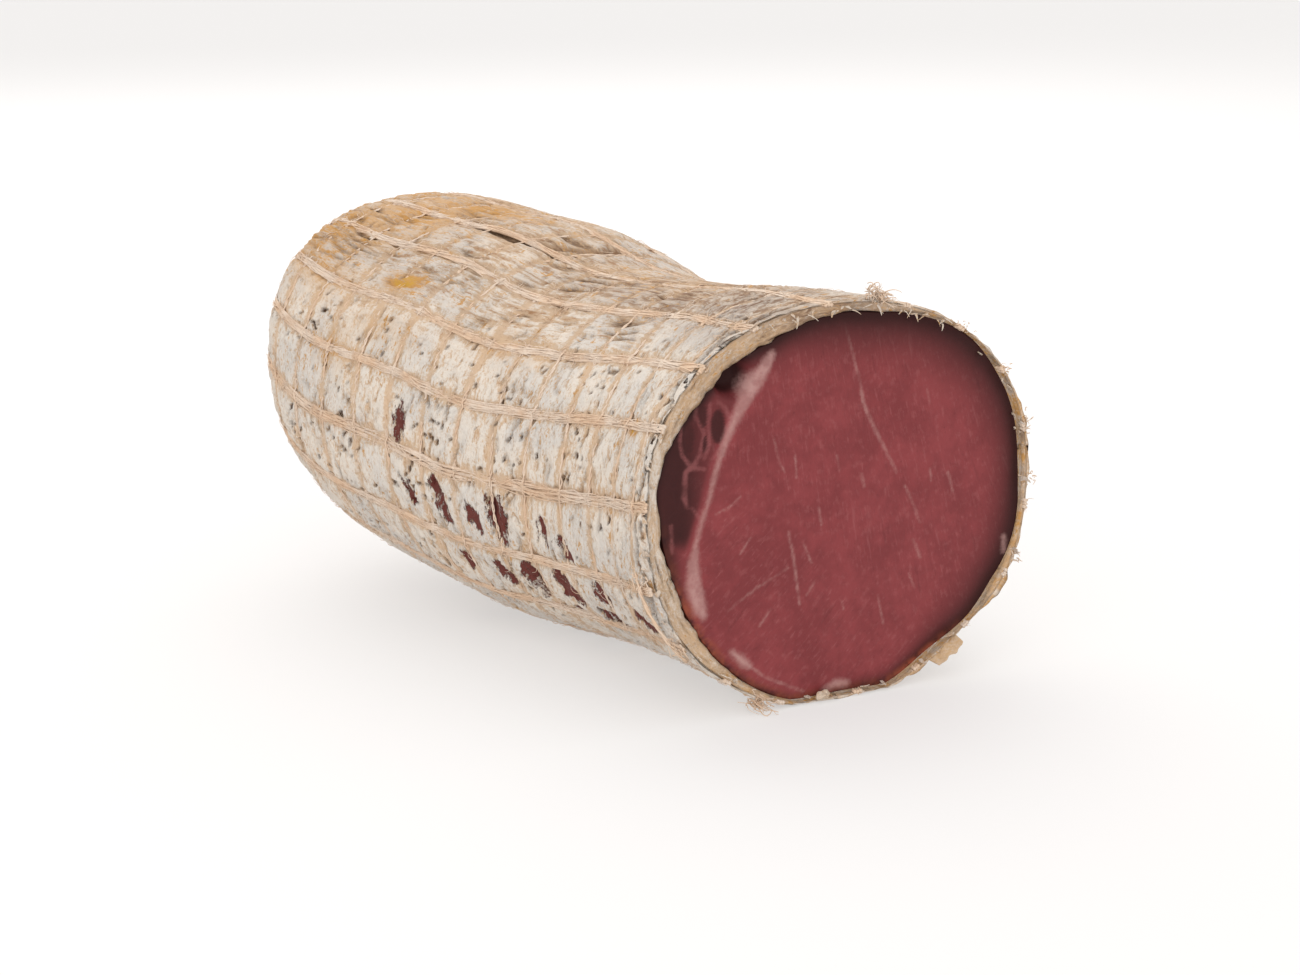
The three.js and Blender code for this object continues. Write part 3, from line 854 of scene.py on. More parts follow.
@dataclass(frozen=True)
class MeatFinish:
    """Cured lean beef, cut smooth, with a darker dried rim and white fat veins."""

    lean: Colour = paint(141, 60, 63)
    lean_deep: Colour = paint(124, 50, 53)
    # Dark dried lean, also used as painted shade in the pocket between meat and casing.
    dry: Colour = paint(50, 15, 14)
    fat: Colour = paint(188, 146, 140)
    fat_thin: Colour = paint(166, 98, 98)
    amber: Colour = paint(152, 76, 54)
    roughness: float = 0.5

    def material(self) -> bpy.types.Material:
        """Builds the finish.

        Returns:
            The material; it reads the face's noted distances and dryness, which holds painted shade
            in the pocket.
        """
        shop = Shop("cured_lean_beef")
        places = shop.places("object")
        cloud = shop.noise(places, 60, 4, 0.6)
        mottle = shop.noise(places, 330, 4, 0.6)
        colour = shop.mix((cloud * 0.7 + mottle * 0.3).step(0.38, 0.62), self.lean_deep, self.lean)

        slant = shop.noted("slant")
        broad = shop.crossing(slant, (("grain", 1.0, 0.10), 420, 4, 0.6),
                              (("grain_left", 1.0, 0.13), 400, 4, 0.6))
        fibre = shop.crossing(slant, (("grain", 1.0, 0.14), 1500, 4, 0.65),
                              (("grain_left", 1.0, 0.16), 1400, 4, 0.65))
        patchy = shop.noise(places, 1100, 3, 0.6)
        marbled = (shop.noise(places, 520, 4, 0.62) * 0.6 + fibre * 0.4).step(0.50, 0.66)
        colour = shop.mix(marbled * 0.26, colour, self.fat_thin)
        colour = shop.mix(broad.step(0.60, 0.74) * 0.30, colour, self.fat_thin)
        colour = shop.mix(fibre.step(0.60, 0.74) * (0.24 + 0.22 * slant), colour, self.fat_thin)
        colour = shop.mix(broad.step(0.42, 0.26) * 0.20, colour, self.dry)
        colour = shop.mix((patchy * 0.5 + fibre * 0.5).step(0.44, 0.30) * 0.24, colour, self.dry)

        thin = shop.noted("thin") * 1000 + (patchy - 0.5) * 1.1
        fleck = (broad * 0.5 + mottle * 0.5).step(0.38, 0.62)
        colour = shop.mix(thin.step(0.55, -0.45) * (0.10 + 0.34 * fleck), colour, self.fat)

        # The noted dryness darkens the rim, the muscle left of the main vein and the bundles; in
        # the pocket between meat and casing it is painted shade.
        dryness_and_shade = shop.noted("dry") + (cloud - 0.5) * 0.22 + (mottle - 0.5) * 0.12
        colour = shop.mix(dryness_and_shade.step(0.05, 1.0), colour, self.dry)
        web = shop.noted("web") * 1000 + (patchy - 0.5) * 0.8
        colour = shop.mix(web.step(0.75, -0.35) * (0.2 + 0.3 * fleck), colour, self.fat_thin)
        fat = shop.noted("fat") * 1000 + (mottle - 0.5) * 1.6 + (patchy - 0.5) * 1.2
        fat_share = fat.step(1.1, -1.1) * (0.50 + 0.35 * mottle.step(0.35, 0.65))
        colour = shop.mix(fat_share, colour, self.fat)
        amber = shop.noted("amber") * mottle.step(0.3, 0.62)
        colour = shop.mix(amber.kept(), colour, self.amber)

        grain = shop.noise(places, 2600, 3, 0.6)
        height = fibre * 0.6 + broad * 0.5 + grain * 0.3 - fat.step(0.8, -0.5) * 0.3
        rough = self.roughness + 0.2 * dryness_and_shade.kept() + (grain - 0.5) * 0.16
        return shop.finish(
            Base_Color=colour, Roughness=rough, Normal=shop.bump(height, 0.4, 0.25 * MM),
            Specular_IOR_Level=0.22, Subsurface_Weight=0.04,
            Subsurface_Radius=(1.0, 0.3, 0.2), Subsurface_Scale=0.8 * MM)


@dataclass(frozen=True)
class CasingFinish:
    """Dry natural casing: chalky white bloom over peach skin, with ochre and dark streaks, and
    painted shade in its creases, cracks and hollows.
    """

    bloom: Colour = paint(241, 231, 219)
    bloom_cool: Colour = paint(230, 224, 217)
    peach: Colour = paint(222, 193, 163)
    sand: Colour = paint(208, 184, 158)
    tan: Colour = paint(184, 136, 92)
    cord: Colour = paint(229, 199, 171)
    ochre: Colour = paint(203, 153, 92)
    yellow: Colour = paint(208, 160, 68)
    # Umber: the casing's own pepper specks, and painted shade in creases and cracks.
    umber_and_shade: Colour = paint(84, 57, 38)
    lean: Colour = paint(112, 54, 46)
    # Ash grey: the casing's own grey, and painted shade along the furrow.
    ash: Colour = paint(140, 111, 90)
    amber: Colour = paint(222, 184, 140)

    def material(self) -> bpy.types.Material:
        """Builds the finish.

        Returns:
            The material; it reads the skin's noted relief, stains and places.
        """
        shop = Shop("natural_casing")
        skin = shop.places("skin")
        broad = shop.noise(skin, 45, 3, 0.6)
        warp = shop.noise(skin, 150, 3, 0.6)
        along = shop.noted("lengthwise")
        ringwise = shop.shifted(shop.places("skin", 0.40), warp, 3 * MM)
        streak = shop.crossing(along, (ringwise, 640, 5, 0.66, 0.8),
                               (("skin", 1.0, 0.17), 560, 5, 0.66, 0.6))
        fine = shop.crossing(along, (("skin", 0.40), 1900, 4, 0.65),
                             (("skin", 1.0, 0.25), 1700, 4, 0.65))
        flake = shop.noise(skin, 1100, 4, 0.7)
        stroke = shop.crossing(along, (ringwise, 300, 4, 0.62, 0.8),
                               (("skin", 1.0, 0.2), 300, 4, 0.62, 0.6))

        # crown is the height on the relief: crests take more white bloom and hollows more tan, a
        # painted light and shade that follows the relief.
        crown, net = shop.noted("crown"), shop.noted("net")
        bloom = (streak * 1.0 + stroke * 0.6 + broad * 0.5 + flake * 0.7 + crown * 0.24
                 - net * 0.26 - along * 0.12)
        bloom_colour = shop.mix(broad.step(0.42, 0.60), self.bloom, self.bloom_cool)
        colour = shop.mix(broad.step(0.42, 0.58), self.peach, self.sand)
        colour = shop.mix(bloom.step(1.34, 1.56) * 0.92, colour, bloom_colour)
        tan = (streak * 0.45 + stroke * 0.2 + fine * 0.35).step(0.48, 0.38) * 0.85
        tan = tan + crown.step(0.40, 0.05) * 0.35 + fine.step(0.44, 0.32) * 0.35
        tan = tan * (0.75 + 0.6 * along)
        colour = shop.mix((tan * flake.step(0.30, 0.52)).kept() * 0.85, colour, self.tan)
        colour = shop.mix((net * 1.3 - 0.3).kept() * 0.5, colour, self.cord)
        ash = shop.noted("ash") * (streak.step(0.62, 0.36) * 0.8 + 0.3)
        colour = shop.mix((ash * 0.9).kept(), colour, self.ash)
        ochre = shop.noted("ochre") * (streak * 0.6 + fine * 0.4).step(0.41, 0.53)
        speckled = (broad * 0.3 + streak * 0.7).step(0.52, 0.61) * fine.step(0.46, 0.57) * 0.8
        flecks = shop.noise(("skin", 0.45), 430, 4, 0.66).step(0.60, 0.66)
        flecks = flecks * shop.noise(skin, 75, 2).step(0.44, 0.58) * 0.85
        colour = shop.mix((ochre + speckled + flecks).kept(), colour, self.ochre)
        yellow = shop.noted("ochre").step(1.2, 1.8) * (streak * 0.6 + flake * 0.4).step(0.43, 0.55)
        colour = shop.mix(yellow, colour, self.yellow)
        smudge = (shop.noise(skin, 120, 3, 0.6) * 0.6 + streak * 0.4).step(0.55, 0.66)
        colour = shop.mix(smudge * fine.step(0.62, 0.42) * 0.5, colour, self.ash)

        # Painted shade: creases, cracks, the split at the rim, the furrow and pits are darkened
        # towards umber.
        crease = shop.noted("crease") * fine.step(0.66, 0.42)
        colour = shop.mix((crease * 0.8).kept(), colour, self.umber_and_shade)
        pepper = shop.noise(("skin", 0.45), 800, 4, 0.6).step(0.67, 0.73)
        pepper = pepper * shop.noise(skin, 90, 2).step(0.50, 0.62) * (1 - along * 0.7)
        colour = shop.mix(pepper * 0.75, colour, self.umber_and_shade)

        ragged = (shop.noise(("skin", 0.40), 560, 5, 0.74) - 0.5) * 9.0
        bare = (shop.noted("bare") * 1000 + ragged).step(0.5, -0.2)
        bare = bare * (1 - stroke.step(0.56, 0.64) * flake.step(0.40, 0.55) * 0.85)
        colour = shop.mix(bare, colour, self.lean)
        colour = shop.mix(shop.noted("amber") * fine.step(0.1, 0.6), colour, self.amber)

        height = streak * 0.8 + fine * 0.6 + flake * 0.5 - crease * 0.4 - bare * 0.8
        rough = 0.85 + (fine - 0.5) * 0.2 - bare * 0.3
        return shop.finish(
            Base_Color=colour, Roughness=rough, Normal=shop.bump(height, 0.9, 0.9 * MM),
            Specular_IOR_Level=0.22)


@dataclass(frozen=True)
class NetFinish:
    """Fuzzy cotton-wrapped elastic, peach with a dusting of bloom."""

    peach: Colour = paint(232, 202, 174)
    pale: Colour = paint(237, 218, 200)
    stain: Colour = paint(210, 174, 144)

    def material(self) -> bpy.types.Material:
        """Builds the finish.

        Returns:
            The material, on object coordinates.
        """
        shop = Shop("tying_net")
        places = shop.places("object")
        broad = shop.noise(places, 90, 3, 0.6)
        fuzz = shop.noise(places, 1500, 4, 0.7)
        colour = shop.mix(broad.step(0.38, 0.62), self.peach, self.pale)
        colour = shop.mix((fuzz.step(0.5, 0.3) * 0.5).kept(), colour, self.stain)
        colour = shop.mix((fuzz.step(0.55, 0.72) * 0.7).kept(), colour, self.pale)
        return shop.finish(
            Base_Color=colour, Roughness=0.95, Normal=shop.bump(fuzz, 0.6, 0.3 * MM),
            Specular_IOR_Level=0.1)


@dataclass(frozen=True)
class FloorFinish:
    """A pale matt sheet for the studio's floor, which glows a little."""

    name: str = "studio_floor"
    colour: Colour = (0.395, 0.382, 0.375)
    clouded: float = 0.97
    roughness: float = 0.9
    glow_colour: Colour = (1.0, 0.997, 0.995)
    glow: float = 0.465

    def material(self) -> bpy.types.Material:
        """Builds the finish.

        Returns:
            The material, on object coordinates.
        """
        shop = Shop(self.name)
        cloud = shop.noise(("object",), 0.6, 2)
        darker = tuple(value * self.clouded for value in self.colour)
        tone = shop.mix(cloud.step(0.0, 1.0) * 0.04, self.colour, darker)
        return shop.finish(Base_Color=tone, Roughness=self.roughness, Specular_IOR_Level=0.1,
                           Emission_Color=self.glow_colour, Emission_Strength=self.glow)


# ---- the lean muscle

# A line of fat on the cut face: x, height and half width at each of its points, in mm.
Vein = tuple[tuple[float, float, float], ...]


def from_veins(veins: Sequence[Vein], x: Array, z: Array) -> Array:
    """How far places on the cut face lie from the nearest vein's edge, negative inside it.

    Args:
        veins: The veins.
        x: Places across, in mm.
        z: Heights, in mm.

    Returns:
        Distances in mm.
    """
    nearest = np.full(x.shape, FAR_MM)
    for vein in veins:
        for (ax, az, aw), (bx, bz, bw) in zip(vein, vein[1:]):
            away, share = from_line(x - ax, z - az, bx - ax, bz - az)
            nearest = np.minimum(nearest, away - blend(aw, bw, share))
    return nearest


@dataclass
class Muscle:
    """The lean muscle: the cut face with its veins, and the side inside the casing."""

    envelope: Envelope
    finish: MeatFinish = field(default_factory=MeatFinish)
    sides: int = 420
    side_depth: float = 3.9 * MM
    rim_gap: float = 0.25 * MM
    rim_step: float = 8 * MM
    recess: float = 1.0 * MM
    face_radius: float = 50 * MM
    face_middle_z: float = 52 * MM
    pocket_angle: float = 126
    pocket_inward: float = 2.6 * MM
    pocket_reach: float = 6.6 * MM
    pocket_depth: float = 5.5 * MM
    veins: tuple[Vein, ...] = (
        ((-20.2, 93.2, 0.9), (-21.8, 90.8, 1.6), (-24.6, 87.0, 1.9), (-28.1, 82.0, 1.6),
         (-30.6, 77.6, 1.0), (-33.4, 71.2, 0.7), (-35.6, 65.2, 0.5), (-37.5, 58.4, 0.4),
         (-39.7, 52.4, 0.4), (-41.2, 47.6, 0.5), (-41.9, 42.0, 1.4), (-41.6, 36.3, 2.0),
         (-40.0, 30.3, 1.8), (-38.8, 28.2, 0.8)),
        ((-30.6, 17.6, 0.5), (-28.6, 15.6, 0.9), (-27.0, 14.0, 1.2), (-25.6, 12.9, 0.7)),
        ((-3.2, 2.6, 0.7), (0.0, 3.9, 1.2), (3.4, 3.4, 0.9)),
        ((50.9, 36.4, 0.5), (51.3, 32.6, 0.5)),
    )
    webs: tuple[Vein, ...] = (
        ((-40.3, 84.0, 0.15), (-41.0, 79.7, 0.3), (-38.7, 75.3, 0.2), (-40.2, 69.9, 0.3),
         (-41.7, 67.3, 0.5), (-44.0, 66.2, 0.4), (-44.3, 59.4, 0.45), (-43.6, 57.2, 0.2)),
        ((-36.9, 82.6, 0.1), (-37.6, 77.9, 0.2), (-37.2, 72.3, 0.15), (-38.7, 69.0, 0.25)),
        ((-35.0, 82.8, 0.2), (-33.0, 81.0, 0.2), (-31.9, 78.6, 0.3), (-32.2, 75.0, 0.2),
         (-33.4, 71.9, 0.2), (-36.4, 68.7, 0.15)),
        ((-44.7, 78.0, 0.1), (-45.2, 74.0, 0.2), (-44.9, 70.5, 0.15), (-42.5, 67.1, 0.4),
         (-38.7, 66.2, 0.15)),
        ((-42.4, 56.9, 0.1), (-40.5, 54.6, 0.25), (-39.7, 52.4, 0.3)),
        ((-47.9, 53.0, 0.2), (-47.6, 46.0, 0.15)),
    )
    threads: tuple[Vein, ...] = (
        ((0.5, 99.5, 0.15), (2.7, 92.3, 0.3), (5.7, 82.8, 0.35), (6.7, 77.8, 0.5),
         (10.1, 70.9, 0.45), (13.5, 64.8, 0.3), (17.0, 58.5, 0.3)),
        ((19.6, 54.6, 0.2), (22.6, 48.8, 0.3), (24.5, 44.1, 0.2)),
        ((-35.5, 54.3, 0.1), (-31.7, 55.5, 0.15), (-28.6, 57.9, 0.1)),
        ((-14.7, 46.8, 0.35), (-13.0, 39.3, 0.35), (-11.2, 27.4, 0.3)),
        ((22.6, 39.4, 0.35), (24.9, 34.6, 0.35)),
        ((6.3, 59.2, 0.35), (7.2, 56.1, 0.3)),
        ((32.6, 56.6, 0.3), (34.5, 51.2, 0.25)),
        ((-19.4, 71.6, 0.1), (-17.8, 65.7, 0.2), (-16.2, 62.7, 0.1)),
        ((-6.0, 52.1, 0.2), (-5.1, 47.6, 0.25)),
        ((-6.9, 32.6, 0.3), (-9.2, 29.3, 0.2)),
        ((-19.6, 27.2, 0.15), (-22.7, 23.3, 0.25)),
        ((21.6, 30.6, 0.15), (23.5, 26.6, 0.2)),
        ((12.1, 26.1, 0.15), (14.0, 18.3, 0.2)),
        ((-32.2, 28.5, 0.1), (-24.4, 33.0, 0.25), (-18.1, 35.7, 0.15), (-15.0, 37.4, 0.2)),
        ((-1.1, 65.1, 0.1), (-0.2, 61.4, 0.15)),
        ((25.5, 79.3, 0.15), (26.5, 75.6, 0.15)),
        ((-13.1, 66.6, 0.1), (-12.6, 60.8, 0.2)),
        ((-10.3, 43.3, 0.1), (-7.8, 37.8, 0.2)),
        ((-25.4, 46.8, 0.1), (-28.4, 43.0, 0.15)),
        ((27.1, 58.0, 0.15), (27.6, 55.0, 0.1)),
        ((1.4, 26.2, 0.1), (1.9, 23.9, 0.2)),
        ((-30.5, 17.3, 0.3), (-20.9, 9.1, 0.3), (-16.1, 6.8, 0.3), (-9.6, 3.4, 0.3)),
    )
    bundles: tuple[tuple[float, float, float, float], ...] = (
        (-42.9, 74.6, 1.9, 5.2), (-34.9, 76.6, 2.3, 5.2), (-38.9, 79.6, 1.5, 3.6),
        (-38.4, 72.4, 0.9, 2.8), (-46.0, 62.0, 1.2, 4.4),
    )
    dry_width: tuple[tuple[float, float], ...] = (
        (0, 15.0), (20, 17.0), (45, 20.0), (70, 19.0), (90, 16.0), (105, 10.0), (130, 6.0),
        (150, 8.0), (165, 9.0), (185, 8.0), (198, 4.0), (212, 2.0), (240, 2.4), (265, 3.0),
        (285, 6.0), (305, 13.0), (330, 16.0), (360, 15.0),
    )

    def build(self) -> Piece:
        """Models and dresses the muscle.

        Returns:
            The piece.
        """
        side = self.envelope.skin_length - self.side_depth
        spans = (Span(self.face_radius, 119), Span(self.rim_step, 7),
                 Span(side - self.rim_step, 9))
        piece = Modeller.sleeve("lean_muscle", self.sides, spans)
        straight = Modeller.coordinates(piece)
        walked, angle = straight[:, 1], np.arctan2(straight[:, 2], straight[:, 0])
        on_face = walked <= self.face_radius + 1e-6
        share = np.clip(walked / self.face_radius, 0, 1)
        rim_depth = self.envelope.fold_width(angle) + self.rim_gap
        rim = self.envelope.sunk(0.0, angle, rim_depth)
        centre = np.array([-self.envelope.middle_x, 0, self.face_middle_z])
        face = centre + (rim - centre) * share[:, None]
        x_mm = (face[:, 0] + self.envelope.middle_x) / MM
        z_mm = face[:, 2] / MM
        inside = (1 - share) * np.hypot(rim[:, 0] - centre[0], rim[:, 2] - centre[2])
        fat, web, thin = (from_veins(lines, x_mm, z_mm)
                          for lines in (self.veins, self.webs, self.threads))
        face[:, 1] = self.envelope.cut_at(face[:, 0]) + self.recess
        face[:, 1] += self._relief(x_mm, z_mm, fat, inside, angle)
        behind = np.maximum(walked - self.face_radius, 0)
        deeper = blend(rim_depth, self.side_depth, smooth(behind, 0, self.rim_step))
        sides = self.envelope.sunk(behind + self.recess, angle, deeper)
        near_face = smooth(behind, 3 * MM, 0)
        sides[:, 1] += near_face * (self._pocket(rim) + self._lean_in(angle))
        Modeller.lay(piece, np.where(on_face[:, None], face, sides))

        off = np.where(on_face, 0, FAR_MM)
        low_rim = near(angle, 218, 24) + near(angle, 296, 13) + 0.5 * near(angle, 262, 20)
        # The dryness note also carries the painted shade of the pocket.
        Modeller.note(
            piece, fat=(fat + off) * MM, thin=(thin + off) * MM, web=(web + off) * MM,
            dry=np.where(on_face, self._dryness_and_shade(x_mm, z_mm, inside, angle), 1),
            amber=low_rim * smooth(inside, 3.2 * MM, 0.6 * MM),
            slant=smooth(-x_mm * 0.8 - z_mm + 40, -6, 14))
        self._note_grain(piece, x_mm, z_mm)
        Modeller.face_outward(piece)
        piece.data.materials.append(self.finish.material())
        return piece

    def _note_grain(self, piece: Piece, x: Array, z: Array) -> None:
        """Stores coordinates across and along the fibres, for both slants of the face.

        Args:
            piece: The muscle.
            x: Places across, in mm.
            z: Heights, in mm.
        """
        sway = 2.2 * np.sin(x / 17 + 1.0) + 1.6 * np.sin(z / 13 + x / 31)
        for name, lean in (("grain", math.radians(11)), ("grain_left", math.radians(-42))):
            fan = lean + 0.0022 * (x + 4)
            across = x * np.cos(fan) + (z - 53) * np.sin(fan) + 0.35 * sway
            down = -x * np.sin(fan) + (z - 53) * np.cos(fan)
            Modeller.note_places(piece, name, np.c_[across, down, 0 * x] * MM)

    def _pocket(self, points: Array) -> Array:
        """How far the pocket between meat and casing sinks the face, at points of it."""
        turn = rad(self.pocket_angle)
        at = self.envelope.sunk(0.0, turn, self.envelope.fold_width(turn) + self.pocket_inward)
        away = np.hypot(points[:, 0] - at[0], points[:, 2] - at[2])
        return self.pocket_depth * smooth(away, self.pocket_reach, self.pocket_reach * 0.35)

    def _lean_in(self, angle: Array) -> Array:
        """How far the shrunken rim stands back behind the face."""
        return (0.5 + 0.25 * np.sin(5 * angle) + 0.2 * np.sin(11 * angle + 1)) * MM

    def _relief(self, x: Array, z: Array, fat: Array, inside: Array, angle: Array) -> Array:
        """How far the face sinks behind the knife's plane.

        Args:
            x: Places across, in mm.
            z: Heights, in mm.
            fat: Distance from the fat veins, in mm.
            inside: Distance from the face's rim.
            angle: Angles round the face.

        Returns:
            Depths; the dried rim draws back, fat stands a little proud.
        """
        waves = 0.16 * np.sin(x / 9 + 0.6) * np.sin(z / 12 + 1.1) + 0.10 * np.sin(x / 3.7 + z / 15)
        rim = self._lean_in(angle) / MM * smooth(inside, 5 * MM, 0)
        proud = -0.12 * smooth(fat, 0.4, -0.4)
        bulge = sum(0.35 * smooth(away, 1.25, 0.5) for away in self._from_bundles(x, z))
        return (waves + rim + proud + bulge) * MM + self._pocket(self._on_face(x, z))

    def _from_bundles(self, x: Array, z: Array) -> list[Array]:
        """How far places lie from each oval bundle of muscle; 1 is on its edge."""
        return [np.hypot((x - at_x) / half_x, (z - at_z) / half_z)
                for at_x, at_z, half_x, half_z in self.bundles]

    def _on_face(self, x: Array, z: Array) -> Array:
        """Points of the face, from places across and heights in mm."""
        return np.c_[x * MM - self.envelope.middle_x, 0 * x, z * MM]

    def _dryness_and_shade(self, x: Array, z: Array, inside: Array, angle: Array) -> Array:
        """How dark and dry the lean is, from 0 to 1, with painted shade in the pocket.

        Args:
            x: Places across, in mm.
            z: Heights, in mm.
            inside: Distance from the face's rim.
            angle: Angles round the face.

        Returns:
            The dryness; the rim, the muscle left of the main vein and the oval bundles are dark,
            and the pocket between meat and casing is painted dark as shade.
        """
        width = round_table(self.dry_width, angle)
        dry = 0.50 * np.exp(-inside / (0.20 * width)) + 0.62 * smooth(inside, 1.25 * width, 0)
        main = np.array(self.veins[0])
        edge = np.interp(z, main[::-1, 1], main[::-1, 0])
        left = smooth(edge - x, 0, 3.5) * smooth(z, 42, 50) * smooth(z, 90, 84)
        dry = np.maximum(dry, left * (0.50 + 0.35 * smooth(-x, 36, 46)))
        for away in self._from_bundles(x, z):
            dry = np.maximum(dry, 0.8 * smooth(away, 1.1, 0.7))
        # Painted shade: the pocket between meat and casing is darkened as if dry.
        pocket = self._pocket(self._on_face(x, z)) / self.pocket_depth
        return np.clip(np.maximum(dry, pocket * 1.3), 0, 1.3)


# ---- the casing

# Where the casing is worn through: both ends of its middle line, each a distance in mm and an
# angle in degrees, and its half width in mm.
BarePatch = tuple[float, float, float, float, float]
# A soft coloured mark on the skin: its place, its reach both ways, in mm and degrees, and its
# strength.
Stain = tuple[float, float, float, float, float]


@dataclass
class Casing:
    """The natural casing: a wrinkled sleeve, closed at the tied end and ragged at the cut."""

    layout: NetLayout
    finish: CasingFinish = field(default_factory=CasingFinish)
    sides: int = 456
    rows: int = 188
    # Stretches of the straight sleeve, before it is laid: its walls and the steps between.
    wall: float = 4 * MM
    step: float = 1 * MM
    seams: tuple[int, int] = (5, 11)
    crown_depth: float = 0.40 * MM
    cord_groove: float = 0.55 * MM
    ring_groove: float = 0.4 * MM
    inside_depth: float = 3.6 * MM
    edge_depth: float = 0.35 * MM
    fold_depth: float = 1.0 * MM
    split_depth: float = 1.9 * MM
    ragged: float = 1.2 * MM
    rim_play: float = 0.55 * MM
    rim_lumps: float = 1.1 * MM
    rounding: float = 2.2 * MM
    # Radius of the body in mm by which angles become lengths, on patches and for the finish.
    patch_girth: float = 56
    skin_girth: float = 55
    patches: tuple[BarePatch, ...] = (
        (105, 169, 105, 178, 1.6), (103, 188, 101, 193, 1.4), (92, 184, 88, 194, 2.0),
        (79, 188, 76, 194, 1.7), (70, 185, 68, 196, 3.0), (52, 187, 52, 193, 1.2),
        (45, 191, 42, 197, 1.4), (86, 205, 86, 210, 1.4), (74, 205, 71, 211, 1.6),
        (63, 203, 61, 214, 2.6), (51, 203, 47, 213, 3.2), (34, 203, 32, 209, 2.2),
        (50, 217, 50, 221, 1.4), (38, 215, 29, 218, 2.8), (18, 206, 8, 212, 2.0),
        (112, 243, 104, 250, 1.6), (30, 292, 27, 300, 1.9), (66, 322, 70, 330, 2.2),
        (96, 338, 92, 346, 1.7), (128, 322, 124, 331, 2.0), (150, 20, 146, 28, 1.6),
        (52, 350, 49, 357, 1.9),
    )
    ochres: tuple[Stain, ...] = (
        (122, 134, 5, 3, 1.1), (181, 88, 14, 8, 0.9), (146, 104, 12, 7, 0.9),
        (184, 115, 16, 10, 0.8), (142, 89, 18, 6, 0.7), (136, 161, 8, 6, 0.6),
        (14, 157, 2.2, 2.0, 1.3), (196, 170, 10, 10, 0.6), (150, 140, 14, 8, 0.5),
        (60, 20, 16, 10, 0.6), (120, 350, 20, 9, 0.6), (170, 300, 16, 12, 0.5),
        (90, 50, 14, 8, 0.5), (150, 80, 34, 26, 0.45), (186, 110, 20, 20, 0.4),
        (0, 20, 6, 60, 0.7), (0, 305, 6, 40, 0.6), (60, 96, 34, 16, 0.35),
        (190, 148, 16, 16, 0.8), (168, 128, 18, 12, 0.7), (118, 150, 12, 5, 0.4),
        (196, 192, 8, 12, 0.6), (150, 116, 20, 9, 0.5), (70, 142, 16, 6, 0.3),
    )
    yellows: tuple[Stain, ...] = (
        (122, 134, 6, 3.4, 1.0), (118, 131, 3, 2.4, 1.0), (14, 157, 2.0, 1.8, 1.0),
    )
    furrow: tuple[tuple[float, float, float], ...] = (
        (140, 96, 0.4), (126, 100, 1.0), (112, 102, 1.2), (103, 99, 1.1), (98, 90, 1.0),
        (96, 78, 0.6),
    )

    def build(self) -> list[Piece]:
        """Models and dresses the casing.

        Returns:
            Its three pieces from the cut to the tied end; they meet under ring threads.
        """
        material = self.finish.material()
        first, second = self.seams
        pieces = [self._front(), self._tube("casing_middle", first, second, 3),
                  self._tube("casing_rear", second, None, 9)]
        for piece in pieces:
            Modeller.face_outward(piece)
            piece.data.materials.append(material)
        return pieces

    def _front(self) -> Piece:
        """Models the front piece with the edge that is folded in over the cut face.

        Returns:
            The piece.
        """
        layout, envelope = self.layout, self.layout.envelope
        wall, step = self.wall, self.step
        spans = (Span(wall, 3), Span(step, 1), Span(step, 13), Span(step, 1), Span(wall, self.rows))
        piece, walked, angle = self._sleeve("casing_front", spans, False)
        end = layout.ring_distance(self.seams[0], angle)
        outer = np.clip((walked - wall - 3 * step) / wall, 0, 1) * end
        relief = self.relief(outer, angle)
        skin = envelope.sunk(outer, angle, relief["depth"])
        skin[:, 1] += self._edge_wave(angle) * smooth(outer, 5 * MM, 0)

        to_rim = np.clip((walked - wall - step) / step, 0, 1)
        fold, fold_relief = self._fold(to_rim, angle)
        inside = np.maximum((1 - walked / wall) * end, 3 * MM)
        inner = envelope.sunk(inside, angle, self.inside_depth)
        back = envelope.sunk(0.0, angle, blend(self.inside_depth, envelope.fold_width(angle), 0.6))
        back[:, 1] = envelope.cut_at(back[:, 0]) + 2 * MM
        gap = self._gap(angle)
        split_depth = blend(self.fold_depth, self.edge_depth, 0.5) + self._rounded(angle)
        split = envelope.sunk(0.0, angle, split_depth)
        split[:, 1] = envelope.cut_at(split[:, 0]) + self.split_depth * gap
        passed = (walked - wall) / step
        in_fold = (passed > 0.9) & (passed < 2.2)
        in_split = (passed > 2.2) & (passed < 2.9)
        zones = [zone[:, None] for zone in (passed < -0.001, in_fold, in_split, passed > 2.9)]
        Modeller.lay(piece, np.select(zones, [inner, fold, split, skin], back))

        for name, value in fold_relief.items():
            relief[name] = np.where(in_fold, value, relief[name])
        # Painted shade where the split between rim and fold gapes.
        relief["crease"] = np.where(in_split, 1.6 * gap, relief["crease"])
        outer = np.where(in_fold, -2 * MM - (1 - to_rim) * envelope.fold_width(angle), outer)
        self._note(piece, relief, outer, angle)
        return piece

    @staticmethod
    def _gap(angle: Array) -> Array:
        """How far the split between rim and fold gapes at each angle, as a share.

        Args:
            angle: Angles round the face.

        Returns:
            The shares; it gapes at the near side alone, here and there.
        """
        gap = within(angle, 175, 76, 58) * smooth(Lattice.round_body(37, 30, angle), -0.55, 0.25)
        gap = gap * (1 - 0.55 * smooth(turn_between(angle, rad(200)), -0.2, 0.3))
        return np.maximum(gap, 1.3 * near(angle, 160, 8))

